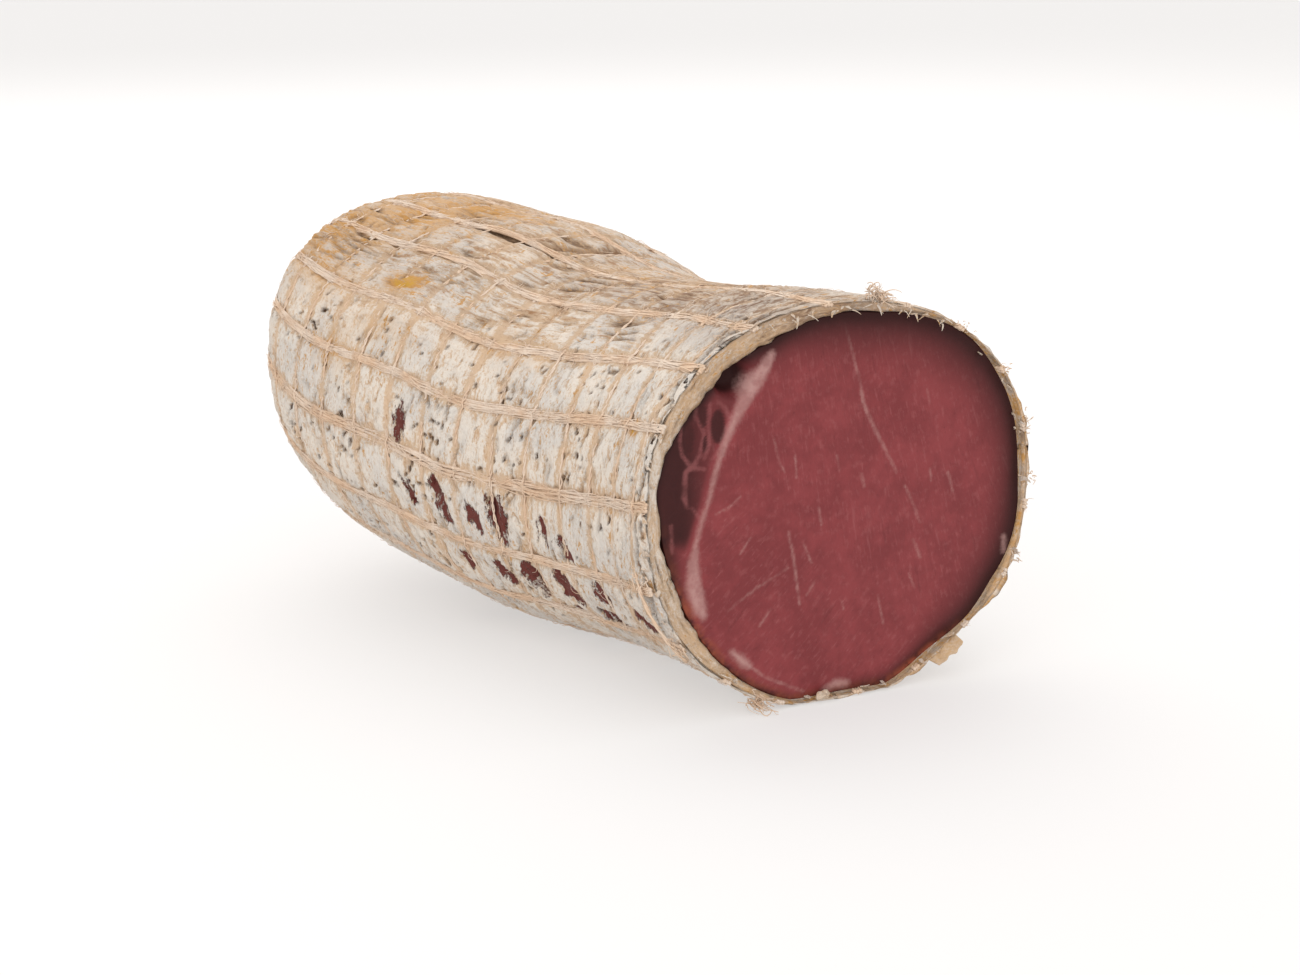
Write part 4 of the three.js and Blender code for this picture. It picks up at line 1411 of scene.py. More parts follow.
    def _tube(self, name: str, start_ring: int, end_ring: int | None, inner_cuts: int) -> Piece:
        """Models a piece from the seam under one ring thread to the next seam.

        The sleeve is laid from its far end along the inside to its near end, and back outside.

        Args:
            name: The piece's name.
            start_ring: The ring thread over its near end.
            end_ring: The ring thread over its far end; None closes it over the rounded end.
            inner_cuts: Cuts of its inside.

        Returns:
            The piece.
        """
        closed = end_ring is None
        spans = (Span(self.wall, inner_cuts), Span(self.step, 0), Span(self.wall, self.rows))
        piece, walked, angle = self._sleeve(name, spans, closed)
        layout, envelope = self.layout, self.layout.envelope
        start = layout.ring_distance(start_ring, angle)
        end = envelope.skin_length + 0 * angle if closed else layout.ring_distance(end_ring, angle)
        share = np.clip((walked - self.wall - self.step) / self.wall, 0, 1)
        outer = blend(start, end, share)
        relief = self.relief(outer, angle)
        skin = envelope.sunk(outer, angle, relief["depth"])
        inside = blend(end, start, np.clip(walked / self.wall, 0, 1))
        inner = envelope.sunk(inside, angle, self.inside_depth)
        is_inner = walked < self.wall + self.step / 2
        Modeller.lay(piece, np.where(is_inner[:, None], inner, skin))
        self._note(piece, relief, outer, angle)
        return piece

    def _sleeve(self, name: str, spans: Sequence[Span], poles: bool) -> tuple[Piece, Array, Array]:
        """Models a straight sleeve for a piece of casing.

        Args:
            name: The piece's name.
            spans: Stretches of the sleeve.
            poles: Whether its ends are merged to points.

        Returns:
            The piece, and how far along it and at which angle each point lies.
        """
        piece = Modeller.sleeve(name, self.sides, spans, poles)
        straight = Modeller.coordinates(piece)
        angle = np.arctan2(straight[:, 2], straight[:, 0])
        return piece, straight[:, 1], np.mod(angle + math.pi / 2, TURN) - math.pi / 2

    @staticmethod
    def _note(piece: Piece, relief: dict[str, Array], outer: Array,
              angle: Array) -> None:
        """Stores what the casing's finish reads.

        Args:
            piece: The piece.
            relief: Its relief.
            outer: Distance of each point along the skin.
            angle: Angle of each point.
        """
        names = ("crown", "net", "crease", "lengthwise", "ash", "ochre", "amber", "bare")
        Modeller.note(piece, **{name: relief[name] for name in names})
        Modeller.note_places(piece, "skin", np.c_[angle * Casing.skin_girth * MM, outer, 0 * outer])

    def _fold(self, to_rim: Array, angle: Array) -> tuple[Array, dict[str, Array]]:
        """Lays the folded edge on the cut face.

        Args:
            to_rim: Shares of the way from the fold's inner edge to the rim.
            angle: Angles round the face.

        Returns:
            The fold's points and what colours it.
        """
        width = self.layout.envelope.fold_width(angle)
        ragged = Lattice.round_body(33, 44, angle) + 0.5 * Lattice.round_body(34, 96, angle)
        wide = smooth(width, 1.5 * MM, 5 * MM)
        inward = (1 - to_rim) * width * (1 + 0.14 * ragged * (1 - to_rim))
        rounded = self._rounded(angle)
        depth = rounded + np.maximum(self.fold_depth, inward * (1 - rounded / width))
        points = self.layout.envelope.sunk(0.0, angle, depth)
        ridge = 1 - 2.2 * np.abs(Lattice(35, 26, 1.7 * MM).at(inward + 0.6 * MM * ragged, angle))
        fine = 1 - 2.2 * np.abs(Lattice(36, 60, 0.9 * MM).at(inward, angle))
        tuck = smooth(to_rim, 0.25, 0.0)
        forward = (0.30 * ridge + 0.16 * fine) * wide + 0.25 * ragged * wide
        points[:, 1] = self.layout.envelope.cut_at(points[:, 0])
        points[:, 1] += (0.35 * wide + 0.15 - forward) * MM
        points[:, 1] += tuck * (0.6 + 0.2 * wide) * MM

        low, upper = near(angle, 222, 30), near(angle, 98, 18)
        gaping = (1 - wide) * smooth(ragged, 0.1, -0.6)
        # Painted shade in the fold's troughs, along its tucked inner edge and where it gapes.
        crease = smooth(ridge, 0.0, -0.7) * 0.9 * wide + 0.3 * tuck + 0.45 * gaping
        # Ridges of the fold count higher on the relief, so the finish paints them lighter as
        # painted light.
        crown = 0.62 + 0.35 * ridge - 0.35 * low - 0.10 * (1 - wide)
        ochre = 0.35 * low + 0.5 * near(angle, 130, 24)
        ochre += (1 - wide) * (0.2 + smooth(ragged, -0.4, 0.7))
        return points, {
            "crown": crown - 0.4 * upper - 0.2 * near(angle, 132, 28),
            "net": 0.42 + 0.2 * (1 - wide),
            "crease": np.clip(crease, 0, 1),
            "lengthwise": 0 * angle,
            "ochre": np.clip(ochre, 0, 1),
            "ash": 0.5 * near(angle, 140, 18) * smooth(to_rim, 0.9, 0.2) + 0.9 * upper,
            "bare": NOT_BARE + 0 * angle,
        }

    def _rounded(self, angle: Array) -> Array:
        """How far the near side of the rim is rounded off before the fold."""
        return self.rounding * near(angle, 195, 26)

    def _edge_wave(self, angle: Array) -> Array:
        """How far the ragged edge stands before or behind the knife's plane."""
        coarse = Lattice.round_body(31, 26, angle)
        fine = Lattice.round_body(32, 90, angle)
        return self.ragged * (0.8 * coarse + 0.5 * fine - 0.1)

    def _furrow(self, distance: Array, angle: Array) -> Array:
        """Depth share of the long furrow over the hump, at places on the skin."""
        deepest = np.zeros_like(distance)
        for (d0, a0, s0), (d1, a1, s1) in zip(self.furrow, self.furrow[1:]):
            beside = np.degrees(turn_between(angle, rad(a0)))
            away, share = from_line(distance / MM - d0, beside, d1 - d0, a1 - a0)
            deepest = np.maximum(deepest, blend(s0, s1, share) * bell(away, 2.2))
        return deepest

    def _bare(self, distance: Array, angle: Array) -> Array:
        """How far places lie from the worn-through patches, negative inside one.

        Args:
            distance: Distances along the skin.
            angle: Angles round it.

        Returns:
            Distances, no larger than NOT_BARE.
        """
        nearest = np.full(distance.shape, NOT_BARE)
        girth = self.layout.girth(distance)
        for d0, a0, d1, a1, half_width in self.patches:
            beside = turn_between(angle, rad(a0)) * girth
            away, share = from_line(distance - d0 * MM, beside, (d1 - d0) * MM,
                                    rad(a1 - a0) * self.patch_girth * MM)
            taper = 0.35 + 0.65 * np.sin(math.pi * np.clip(share * 0.8 + 0.15, 0, 1))
            nearest = np.minimum(nearest, away - half_width * MM * taper)
        return nearest

    @staticmethod
    def _stained(stains: Sequence[Stain], distance: Array, angle: Array) -> Array:
        """How strongly a table's stains cover places on the skin."""
        return sum(strength * bell(distance / MM - at, reach) * near(angle, turn, spread)
                   for at, turn, reach, spread, strength in stains)

    def relief(self, distance: Array, angle: Array) -> dict[str, Array]:
        """The casing's relief and what colours it.

        Args:
            distance: Distances along the skin.
            angle: Angles round it.

        Returns:
            For each place its depth below the envelope and its noted values.
        """
        cord = self.layout.from_cords(distance, angle)
        ring = self.layout.from_rings(distance, angle)
        near_cord, near_ring = bell(cord, 2.0 * MM), bell(ring, 1.3 * MM)
        net = np.maximum(near_cord, near_ring * 0.85)

        top = within(angle, 97, 62, 30)
        lengthwise = top * smooth(distance, 14 * MM, 40 * MM) * smooth(distance, 205 * MM, 185 * MM)
        warp, warp_fine = Lattice.several(((5, 40, 14), (6, 90, 5)), distance, angle)
        slid = distance + (2.6 * warp + 1.0 * warp_fine) * MM
        turned = angle + 0.05 * warp + 0.012 * warp_fine
        across, across_fine, along, along_fine, pits = Lattice.several(
            ((7, 34, 2.1), (8, 92, 0.95), (9, 110, 14), (10, 200, 6), (14, 120, 1.5)), slid, turned)
        lumps, swell, wild, dents = Lattice.several(
            ((11, 70, 4.6), (12, 22, 17), (13, 30, 12), (15, 24, 15)), distance, angle)
        ridge = blend(1 - 2.4 * np.abs(across), 1 - 2.4 * np.abs(along), lengthwise)
        ridge_fine = blend(1 - 2.4 * np.abs(across_fine), 1 - 2.4 * np.abs(along_fine), lengthwise)
        wild = smooth(wild, -0.5, 0.4)
        pits = pits + 0.35 * dents
        pits = smooth(pits, 0.52, 0.74) * (1 - 0.7 * lengthwise)

        furrow = self._furrow(distance, angle)
        crack = bell(distance - (2.6 + 1.4 * warp) * MM, 0.5 * MM) * 0.6
        crack *= within(angle, 165, 56, 40)
        top_crack = bell(distance - (3.4 + warp) * MM, 0.6 * MM) * 0.6
        crack = np.maximum(crack, top_crack * within(angle, 100, 34, 22))
        bare = self._bare(distance, angle)
        worn = smooth(bare, 0.9 * MM, -0.4 * MM)

        height = -self.cord_groove * near_cord - self.ring_groove * near_ring
        height += (0.26 + 0.34 * wild) * MM * ridge * (1 - 0.45 * net)
        height += (0.14 + 0.10 * wild) * MM * ridge_fine + 0.26 * MM * lumps + 0.35 * MM * swell
        height += lengthwise * 0.35 * MM * ridge
        height -= 1.6 * MM * furrow + 1.3 * MM * crack + 0.6 * MM * worn + 0.8 * MM * pits
        fades = smooth(distance, self.layout.envelope.skin_length - 4 * MM, 200 * MM)
        depth = self.crown_depth + 0.25 * MM - height * blend(0.35, 1.0, fades)
        floor = self.layout.envelope.fold_width(angle) - 0.3 * MM
        floor = blend(np.clip(floor, 0.6 * MM, 2.0 * MM), 3.2 * MM, smooth(distance, 0, 8 * MM))
        depth = np.clip(depth, 0.05 * MM, floor)
        play = 0.6 * Lattice.round_body(38, 84, angle) + Lattice.round_body(39, 30, angle)
        rounded = self._rounded(angle)
        rim_depth = self.edge_depth + self.rim_play * (0.3 + play) + rounded
        rim_depth -= self.rim_lumps * smooth(play, 0.1, -0.7) * near(angle, 345, 58)
        depth = blend(rim_depth, depth, smooth(distance / (1.6 * MM + 0.8 * rounded), 0, 1))

        # Painted shade in the troughs of the wrinkles, in cracks, along the furrow and in pits.
        crease = smooth(ridge, 0.0, -0.8) * (0.15 + 0.45 * wild + 0.4 * lengthwise)
        crease = np.maximum.reduce([crease, crack * 1.6, furrow * 0.55, pits * 1.5])
        # Ash grey over the dent and, from 60 mm on, along the top; its furrow share is painted
        # shade.
        dent = bell(distance / MM - 34, 42) * near(angle, 104, 21)
        ash = dent * 1.3 + furrow * 0.6 + 0.3 * top * smooth(distance, 60 * MM, 90 * MM)
        ochre, yellow = (np.clip(self._stained(stains, distance, angle), 0, 1)
                         for stains in (self.ochres, self.yellows))
        return {
            "depth": depth,
            "crown": smooth(height / MM, -1.2, 0.9),
            "net": net,
            "crease": np.clip(crease, 0, 2),
            "lengthwise": lengthwise,
            "ash": np.clip(ash, 0, 1),
            "ochre": ochre + yellow,
            "amber": 0 * distance,
            "bare": bare,
        }


# ---- the tying net

@dataclass
class TyingNet:
    """The elastic net: flat twisted cords, ring threads, the tied end and stray fibres."""

    layout: NetLayout
    finish: NetFinish = field(default_factory=NetFinish)
    core_radius: float = 0.56 * MM
    core_aside: tuple[float, float, float] = (-0.72 * MM, 0.0, 0.72 * MM)
    strands_each: int = 5
    strand_radius: float = 0.17 * MM
    bundle_half: float = 1.2 * MM
    lay_length: float = 60 * MM
    cord_step: float = 1.45 * MM
    cord_depth: float = 0.85 * MM
    narrows_over: float = 22 * MM
    ring_step: float = 1.3 * MM
    ring_twist: float = 0.9 * MM
    ring_radius: float = 0.24 * MM
    ring_depth: float = 0.95 * MM
    sinking: float = 0.45 * MM
    overhang: float = 0.5 * MM
    overhang_play: float = 0.35 * MM
    # Radius and height over the crown, in mm, of each point that a strand passes in the neck.
    neck: tuple[tuple[float, float], ...] = ((6.2, 2.6), (3.6, 4.2), (5.0, 6.6), (4.4, 9.2))
    neck_strand_radius: float = 0.33 * MM
    tie_turns: float = 4.5
    tie_radius: float = 0.42 * MM
    # Distance in mm, angle in degrees and depth in mm of the first thread's loose end.
    loose: tuple[tuple[float, float, float], ...] = (
        (6.0, 189, 0.9), (4.4, 191, 0.3), (2.2, 195, -0.5), (0.7, 203, -0.6), (0.4, 212, -0.6),
        (2.4, 221, -0.5),
    )
    loose_steps: int = 26
    loose_twist: float = 0.22 * MM
    fuzz_fibres: int = 4600
    fuzz_on_cords: float = 0.7
    # Distance in mm, angle in degrees, number of fibres, reach and lift in mm of each tuft.
    tufts: tuple[tuple[float, float, int, float, float], ...] = (
        (2, 82, 90, 3.4, 1.7), (1, 247, 70, 3.8, 0.9), (0, 213, 22, 2.8, 0.8),
        (0, 190, 12, 1.8, 0.6), (1, 14, 34, 1.5, 0.8), (1, 340, 30, 1.4, 0.8),
        (1, 0, 22, 1.1, 0.7), (1, 32, 20, 1.1, 0.6), (1, 52, 14, 0.9, 0.5),
    )

    def build(self) -> list[Piece]:
        """Models and dresses the net.

        Returns:
            Its pieces: the cords, the rings and the stray fibres.
        """
        material = self.finish.material()
        pieces = [
            Modeller.strands("net_cords", self._cord_paths()),
            Modeller.strands("net_rings", self._ring_paths() + self._tie_paths()),
            Modeller.strands("net_fibres", self._fibre_paths()),
        ]
        for piece in pieces:
            piece.data.materials.append(material)
        return pieces

    def _cord_paths(self) -> list[Path]:
        """Strands of all lengthwise cords.

        Returns:
            For each strand its points and radii, from the cut to the frayed tuft.
        """
        paths = []
        draws = np.random.default_rng(21)
        layout, envelope = self.layout, self.layout.envelope
        distance = np.arange(0, layout.gather_at, self.cord_step)
        for cord in range(layout.cords):
            start = -(self.overhang + self.overhang_play * uneven("overhang", cord))
            along = np.concatenate([[start], distance])
            angle = layout.cord_angle(cord, along)
            narrow = np.clip((envelope.skin_length - along) / self.narrows_over, 0.25, 1)
            hidden = smooth(Lattice(24, 24, 21 * MM).at(along, angle), -0.15, 0.45)
            grown_over = self.sinking * hidden
            girth = layout.girth(along)
            for strand, offset in enumerate(self.core_aside):
                aside = offset * narrow + self._drift(draws, len(along))[0] * 0.10 * MM
                depth = self.cord_depth + 0.10 * MM * abs(strand - 1) + grown_over
                points = envelope.sunk(along, angle + aside / girth, depth)
                radii = self.core_radius * (0.9 + 0.2 * draws.random(len(along)))
                paths.append(self._with_neck(points, radii, cord, strand + 2, draws))
            for strand in range(self.strands_each):
                turn = TURN * (strand / self.strands_each + along / self.lay_length)
                wander = self._drift(draws, len(along)) * 0.4 * MM
                aside = self.bundle_half * narrow * np.sin(turn) + wander[0]
                rise = self.core_radius * np.sqrt(np.clip(1 - (aside / (1.6 * MM)) ** 2, 0, 1))
                depth = self.cord_depth - rise - 0.06 * MM + np.abs(wander[1]) * 0.3
                depth = np.maximum(depth, 0.1 * MM) + grown_over
                points = envelope.sunk(along, angle + aside / girth, depth)
                radii = self.strand_radius * (0.7 + 0.6 * draws.random(len(along)))
                paths.append(self._with_neck(points, radii, cord, strand, draws))
        return paths

    @staticmethod
    def _drift(draws: Draws, count: int) -> Array:
        """Two smooth random walks of about unit height."""
        rough = draws.normal(0, 1, (2, count + 8))
        kernel = np.array([1, 3, 5, 6, 6, 5, 3, 1, 0.5]) / 13
        return np.array([np.convolve(row, kernel, "valid") for row in rough])

    def _with_neck(self, points: Array, radii: Array, cord: int, strand: int,
                   draws: Draws) -> Path:
        """Carries a strand on over the crown and up through the tied neck.

        Args:
            points: The strand's points on the skin.
            radii: Its radii.
            cord: Number of its cord.
            strand: Its number in the cord.
            draws: Source of the tuft's unevenness.

        Returns:
            Its points and radii with the neck.
        """
        tip = self.layout.envelope.tip
        last = points[-1] - tip
        heading = math.atan2(last[2], last[0]) + 0.06 * (strand - 3)
        extra = []
        for radius, height in self.neck:
            reach = radius * (0.55 + 0.4 * ((strand * 5 + cord) % 7) / 6) * MM
            extra.append(tip + [reach * math.cos(heading), height * MM, reach * math.sin(heading)])
        end = extra[-1] + draws.normal(0, 0.25 * MM, 3) * [1, 0.3, 1]
        end[1] = min(end[1], extra[-1][1] + 0.2 * MM)
        extra[-1] = end
        radii = np.concatenate([radii, [self.neck_strand_radius] * len(extra)])
        return np.vstack([points, extra]), radii

    def _ring_paths(self) -> list[Path]:
        """Strands of all ring threads.

        Returns:
            For each strand its points and radii; each ring is two strands twisted together.
        """
        paths = []
        draws = np.random.default_rng(22)
        layout = self.layout
        for ring in range(layout.rings):
            girth = float(layout.girth(np.array(layout.first_ring + ring * layout.ring_pitch)))
            steps = max(60, int(TURN * girth / self.ring_step))
            angle = np.linspace(0, TURN, steps + 1) + 0.7 * ring
            for strand in (0, 1):
                turn = math.pi * strand + angle * girth / self.ring_twist
                wander = draws.normal(0, 0.08 * MM, (2, steps + 1))
                wander[:, -1] = wander[:, 0]
                along = layout.ring_distance(ring, angle) + 0.32 * MM * np.sin(turn) + wander[0]
                crossing = bell(layout.from_cords(along, angle), 1.4 * MM)
                depth = self.ring_depth - 0.12 * MM * np.cos(turn) + wander[1]
                depth -= 0.45 * MM * crossing
                hidden = smooth(Lattice(25, 34, 15 * MM).at(along, angle), -0.05, 0.4)
                depth += self.sinking * hidden * (1 - crossing)
                radii = self.ring_radius * (0.8 + 0.4 * draws.random(steps + 1))
                paths.append((layout.envelope.sunk(along, angle, depth), radii))
        return paths

    def _tie_paths(self) -> list[Path]:
        """The tie round the neck, and the first thread's loose end.

        Returns:
            For each strand its points and radii.
        """
        tip = self.layout.envelope.tip
        turns = np.linspace(0, self.tie_turns * TURN, 120)
        rise = (3.4 + 1.7 * turns / turns[-1]) * MM
        reach = (3.75 + 0.15 * np.sin(3 * turns)) * MM
        tie = tip + np.c_[reach * np.cos(turns), rise, reach * np.sin(turns)]
        paths = [(tie, np.full(len(turns), self.tie_radius))]
        stops = np.arange(len(self.loose))
        fine = np.linspace(0, stops[-1], self.loose_steps)
        distance, angle, depth = (np.interp(fine, stops, row) for row in np.array(self.loose).T)
        for strand in (0, 1):
            turn = math.pi * strand + fine * 5
            along = distance * MM + self.loose_twist * np.sin(turn)
            sunk = depth * MM + self.loose_twist * np.cos(turn)
            points = self.layout.envelope.sunk(along, rad(angle), sunk)
            paths.append((points, np.full(len(fine), self.neck_strand_radius)))
        return paths

    def _fibre_paths(self) -> list[Path]:
        """Stray fibres: fuzz on the cords and rings, and tufts where the net was cut.

        Returns:
            For each fibre its points and radii.
        """
        draws = np.random.default_rng(23)
        return self._fuzz(draws) + self._tufts(draws)

    def _fuzz(self, draws: Draws) -> list[Path]:
        """Short fibres that stand off the cords and the ring threads.

        Args:
            draws: Source of their unevenness.

        Returns:
            For each fibre its points and radii.
        """
        paths = []
        layout = self.layout
        share = np.linspace(0, 1, 5)
        for _ in range(self.fuzz_fibres):
            distance = draws.uniform(0, layout.gather_at)
            if draws.random() < self.fuzz_on_cords:
                angle = float(layout.cord_angle(draws.integers(layout.cords), distance))
                angle += draws.uniform(-1.2, 1.2) * MM / float(layout.girth(distance))
            else:
                angle = draws.uniform(0, TURN)
                distance = float(layout.ring_distance(draws.integers(layout.rings), angle))
            length = draws.uniform(1.4, 4.2) * MM
            heading = draws.uniform(0, TURN)
            lift = draws.uniform(0.05, 0.75) * MM
            way = heading + draws.uniform(-1.4, 1.4) * share
            along = distance + length * share * np.cos(way)
            around = angle + length * share * np.sin(way) / float(layout.girth(distance))
            depth = 0.45 * MM - lift * np.sin(share * 2.4)
            radii = draws.uniform(0.06, 0.11) * MM * (1 - 0.6 * share)
            paths.append((layout.envelope.sunk(along, around, depth), radii))
        return paths

    def _tufts(self, draws: Draws) -> list[Path]:
        """Tufts of frayed fibres where the knife cut the net.

        Args:
            draws: Source of their unevenness.

        Returns:
            For each fibre its points and radii.
        """
        paths = []
        share = np.linspace(0, 1, 7)[:, None]
        for distance, angle, count, reach, lift in self.tufts:
            base = self.layout.envelope.sunk(distance * MM, rad(angle), 0.2 * MM)
            out = self.layout.envelope.normal(np.array(distance * MM), np.array(rad(angle)))
            for _ in range(count):
                side = draws.normal(0, 1, 3)
                side[1] -= 0.6
                side -= out * float(side @ out)
                rise = out * lift * MM * draws.uniform(0.4, 1.0)
                rise = rise * np.sin(share * draws.uniform(1.5, 2.6))
                sway = side * reach * MM * 0.5 * share
                bend = draws.normal(0, 0.22 * reach * MM, 3) * np.sin(share * 4) * share
                points = base + draws.normal(0, 1.1 * MM, 3) + rise + sway + bend
                points[:, 2] = np.clip(points[:, 2], 0.2 * MM, None)
                paths.append((points, draws.uniform(0.12, 0.22) * MM * (1 - 0.5 * share[:, 0])))
        return paths


# ---- peeled bits at the cut

@dataclass
class PeeledEdge:
    """Curled shreds of casing along the cut, the peeled tongue and the bead of fat."""

    layout: NetLayout
    shreds: int = 150
    rim_share: float = 0.45
    tongue_angle: float = 304
    tongue_half_width: float = 6.4 * MM
    tongue_length: float = 2.6 * MM
    tongue_thickness: float = 0.8 * MM
    shred_thickness: float = 0.16 * MM
    bead_angle: float = 266
    bead_half_sizes: tuple[float, float, float] = (2.2, 1.1, 1.2)

    def build(self) -> list[Piece]:
        """Models and dresses the peeled bits.

        Returns:
            Its pieces.
        """
        return [self._tongue(), self._shreds(), self._bead()]

    @staticmethod
    def _dress(piece: Piece, amber: float, crown: float = 0.7) -> None:
        """Notes what the casing's finish reads, and assigns that finish.

        Args:
            piece: The piece.
            amber: How translucent yellow it is.
            crown: How high on the relief it counts.
        """
        Modeller.note(piece, crown=crown, net=0.1, crease=0.0, lengthwise=0.0, ash=0.0,
                      ochre=0.15, amber=amber, bare=NOT_BARE)
        Modeller.note_places(piece, "skin", Modeller.coordinates(piece)[:, [0, 2, 1]])
        piece.data.materials.append(bpy.data.materials["natural_casing"])

    def _tongue(self) -> Piece:
        """The peeled tongue between two cords, low on the far side.

        Returns:
            The piece: a thin ruffled sheet, thickened and rounded.
        """
        Modeller.deselect()
        bpy.ops.mesh.primitive_grid_add(x_subdivisions=26, y_subdivisions=18, size=2.0)
        piece = bpy.context.active_object
        piece.name = "peeled_tongue"
        flat = Modeller.coordinates(piece)
        side, reach = flat[:, 0], (flat[:, 1] + 1) / 2
        half_angle = self.tongue_half_width / (Casing.skin_girth * MM)
        angle = rad(self.tongue_angle) + side * (1 - 0.25 * reach) * half_angle
        forward = self.tongue_length * (1 - 0.25 * side ** 2 + 0.12 * np.sin(9 * side))
        distance = blend(4 * MM, -forward, reach)
        ruffle = 0.35 * MM * np.sin(5 * side + 3 * reach) * reach
        depth = blend(1.2 * MM, -1.5 * MM, reach ** 1.6) + ruffle
        Modeller.lay(piece, self.layout.envelope.sunk(distance, angle, depth))
        solid = piece.modifiers.new("thickness", "SOLIDIFY")
        solid.thickness = self.tongue_thickness
        solid.offset = 0
        Modeller.round_off(piece, 2)
        self._dress(piece, 0.8)
        return piece

    def _shreds(self) -> Piece:
        """Small curled shreds along the rim and on the skin.

        Returns:
            The piece: one shred modelled once, copied and bent to each place.
        """
        draws = np.random.default_rng(41)
        Modeller.deselect()
        bpy.ops.mesh.primitive_cube_add(size=2.0)
        first = bpy.context.active_object
        Modeller.edit(first, "EDGE")
        bpy.ops.mesh.select_all(action="SELECT")
        bpy.ops.mesh.subdivide(number_cuts=3, smoothness=0)
        Modeller.close()
        model = Modeller.coordinates(first)
        copies = []
        for number in range(self.shreds):
            copy = first.copy()
            copy.data = first.data.copy()
            copy.name = "shred"
            bpy.context.scene.collection.objects.link(copy)
            Modeller.lay(copy, self._shred_points(model, number, draws))
            copies.append(copy)
        bpy.data.objects.remove(first)
        Modeller.select(*copies)
        bpy.ops.object.join()
        piece = bpy.context.active_object
        piece.name = "casing_shreds"
        Modeller.round_off(piece, 1)
        self._dress(piece, 0.1)
        return piece

    def _shred_points(self, model: Array, number: int, draws: Draws) -> Array:
        """Bends the modelled shred to its place.

        Args:
            model: Its points, from -1 to 1 each way.
            number: Which shred it becomes; the first ones stand on the rim.
            draws: Source of its place, heading and sizes.

        Returns:
            The points of the shred.
        """
        if number < self.shreds * self.rim_share:
            angle, distance = draws.uniform(0, TURN), draws.uniform(-0.2, 1.4) * MM
            length, width = draws.uniform(1.2, 3.4) * MM, draws.uniform(0.35, 0.9) * MM
            heading = math.pi + draws.normal(0, 0.5)
            lift, depth = draws.uniform(-1.0, 0.5) * MM, draws.uniform(0.5, 2.8) * MM
            if number % 3 == 0:
                angle, distance = rad(draws.uniform(58, 114)), draws.uniform(-0.3, 0.2) * MM
                length, width = 0.7 * length, 0.45 * width
                heading = math.pi + draws.normal(0, 1.1)
                lift, depth = draws.uniform(-2.6, -0.5) * MM, draws.uniform(1.2, 2.8) * MM
        else:
            angle, distance = draws.uniform(0, TURN), draws.uniform(4, 205) * MM
            length, width = draws.uniform(1.4, 3.8) * MM, draws.uniform(0.25, 0.6) * MM
            heading = draws.choice([-1, 1]) * math.pi / 2 + draws.normal(0, 0.35)
            lift, depth = draws.uniform(0.1, 0.55) * MM, 0.75 * MM
        share = (model[:, 0] + 1) / 2
        along, across = length * share, width * model[:, 1] * (1 - 0.75 * share ** 2)
        way = heading + draws.uniform(-0.8, 0.8) * share
        forward = along * np.cos(way) - across * np.sin(way)
        sideways = along * np.sin(way) + across * np.cos(way)
        rise = lift * share ** 1.5 + self.shred_thickness * model[:, 2] * (1 - 0.5 * share)
        around = angle + sideways / float(self.layout.girth(distance))
        reached = np.minimum(distance + forward, 215 * MM)
        return self.layout.envelope.sunk(reached, around, depth - rise)

    def _bead(self) -> Piece:
        """The small bead of dried fat at the bottom of the cut.

        Returns:
            The piece: a ball, lumpy all over.
        """
        place = self.layout.envelope.sunk(0.3 * MM, rad(self.bead_angle), 2.2 * MM)
        place[1] -= 0.9 * MM
        Modeller.deselect()
        bpy.ops.mesh.primitive_ico_sphere_add(subdivisions=4, radius=1.0)
        piece = bpy.context.active_object
        piece.name = "fat_bead"
        ball = Modeller.coordinates(piece)
        lumps = 1 + 0.16 * np.sin(5 * ball[:, 0] + 2) * np.sin(4 * ball[:, 2] + 1)
        lumps += 0.06 * np.sin(11 * ball[:, 1]) * np.sin(9 * ball[:, 0])
        points = place + ball * lumps[:, None] * np.array(self.bead_half_sizes) * MM
        points[:, 2] = np.clip(points[:, 2], 0.1 * MM, None)
        Modeller.lay(piece, points)
        Modeller.face_outward(piece)
        self._dress(piece, 0.35, 0.9)
        return piece


# ---- the studio

class Lamp(Enum):
    """The studio's soft lamps: place, aim, size and power."""

    KEY = ((0.35, 0.75, 0.95), (0.0, 0.0, 0.05), 1.5, 9.5)
    FILL = ((-0.95, -0.90, 0.62), (0.0, 0.0, 0.05), 1.4, 8.5)


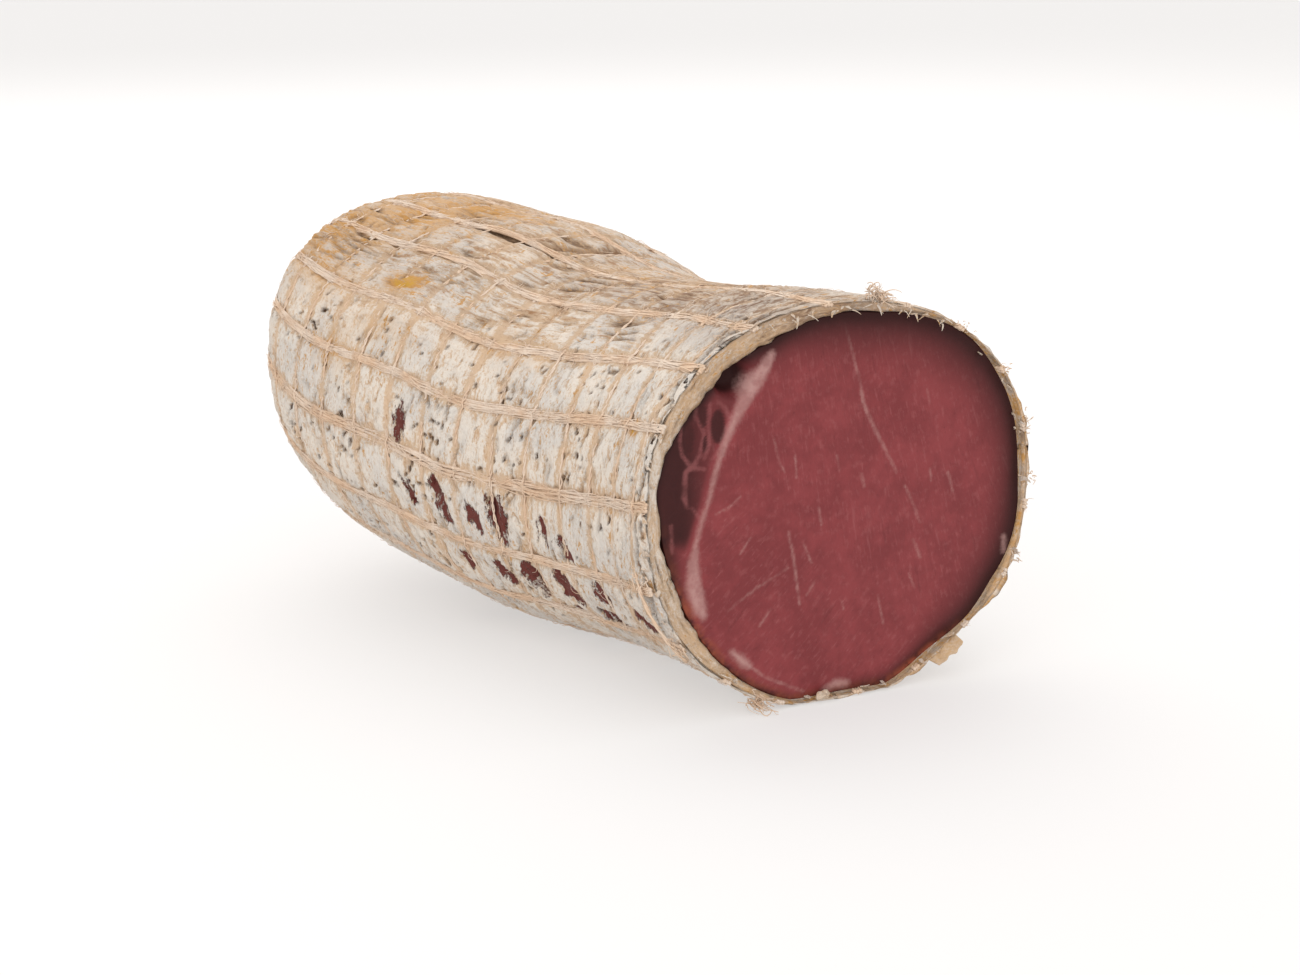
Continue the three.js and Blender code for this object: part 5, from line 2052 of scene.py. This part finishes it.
@dataclass
class Studio:
    """Floor, soft light and the camera."""

    envelope: Envelope
    azimuth: float = 39
    elevation: float = 15
    focal: float = 70
    sensor: float = 36
    image_width: int = 1300
    image_height: int = 975
    face_height: float = 106 * MM
    face_height_px: float = 403
    face_centre_px: tuple[float, float] = (842, 502)
    floor_size: float = 12.0
    floor_finish: FloorFinish = FloorFinish()
    sky: tuple[float, float, float, float] = (1.0, 0.99, 0.975, 1.0)
    sky_strength: float = 1.04

    def build(self) -> None:
        """Sets up the whole studio."""
        self._camera()
        self._floor()
        self._light()
        scene = bpy.context.scene
        scene.view_settings.view_transform = "Standard"
        scene.view_settings.look = "None"

    def _camera(self) -> None:
        """Stands the camera so that the cut face takes its place in the picture."""
        turn, tilt = math.radians(self.azimuth), math.radians(self.elevation)
        sin_turn, cos_turn = math.sin(turn), math.cos(turn)
        sin_tilt, cos_tilt = math.sin(tilt), math.cos(tilt)
        right = Vector((cos_turn, -sin_turn, 0))
        up = Vector((sin_turn * sin_tilt, cos_turn * sin_tilt, cos_tilt))
        forward = Vector((sin_turn * cos_tilt, cos_turn * cos_tilt, -sin_tilt))
        focal_px = self.image_width * self.focal / self.sensor
        away = focal_px * self.face_height * cos_tilt / self.face_height_px
        across = (self.face_centre_px[0] - self.image_width / 2) / focal_px * away
        below = (self.face_centre_px[1] - self.image_height / 2) / focal_px * away
        face = Vector((-self.envelope.middle_x, -self.envelope.middle_y, self.face_height / 2))
        data = bpy.data.cameras.new("camera")
        data.lens = self.focal
        data.sensor_width = self.sensor
        data.clip_start = 0.01
        camera = bpy.data.objects.new("camera", data)
        bpy.context.scene.collection.objects.link(camera)
        axes = Matrix((right, up, -forward)).transposed().to_4x4()
        camera.matrix_world = Matrix.Translation(
            face - away * forward - across * right + below * up) @ axes
        bpy.context.scene.camera = camera

    def _floor(self) -> None:
        """Lays the pale floor."""
        Modeller.deselect()
        bpy.ops.mesh.primitive_plane_add(size=self.floor_size)
        floor = bpy.context.active_object
        floor.name = "studio_floor"
        floor.data.materials.append(self.floor_finish.material())

    def _light(self) -> None:
        """Hangs the soft lamps and lights the surroundings."""
        for lamp in Lamp:
            place, aim, size, power = lamp.value
            data = bpy.data.lights.new(lamp.name.lower(), "AREA")
            data.size = size
            data.energy = power
            light = bpy.data.objects.new(lamp.name.lower(), data)
            light.location = place
            light.rotation_euler = (Vector(place) - Vector(aim)).to_track_quat("Z", "Y").to_euler()
            bpy.context.scene.collection.objects.link(light)
        world = bpy.data.worlds.new("surroundings")
        world.use_nodes = True
        background = world.node_tree.nodes["Background"]
        background.inputs[0].default_value = self.sky
        background.inputs[1].default_value = self.sky_strength
        bpy.context.scene.world = world


# ---- putting it together

def settle(pieces: Sequence[Piece], slot: str, *nodes: str) -> None:
    """Makes pieces ride on the body and stand for their solids.

    Args:
        pieces: The pieces of one sub-assembly.
        slot: Not used; it names the record's material slot.
        *nodes: The solids that the first piece stands for.
    """
    for piece in pieces:
        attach(piece, "root")
        faces = sum(len(face.vertices) - 2 for face in piece.data.polygons)
        log.info("%s: %d triangles", piece.name, faces)
    if nodes:
        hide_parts(*nodes)


def main() -> None:
    """Builds every piece in order and reports it."""
    logging.basicConfig(level=logging.INFO, format="%(name)s %(message)s")
    envelope = Envelope()
    layout = NetLayout(envelope)
    settle([Muscle(envelope).build()], "meat", "meat")
    settle(Casing(layout).build(), "casing", "casing")
    settle(PeeledEdge(layout).build(), "casing")
    settle(TyingNet(layout).build(), "net", "net")
    Studio(envelope).build()
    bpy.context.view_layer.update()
    log.info("sizes written")


if __name__ == "__main__":
    main()
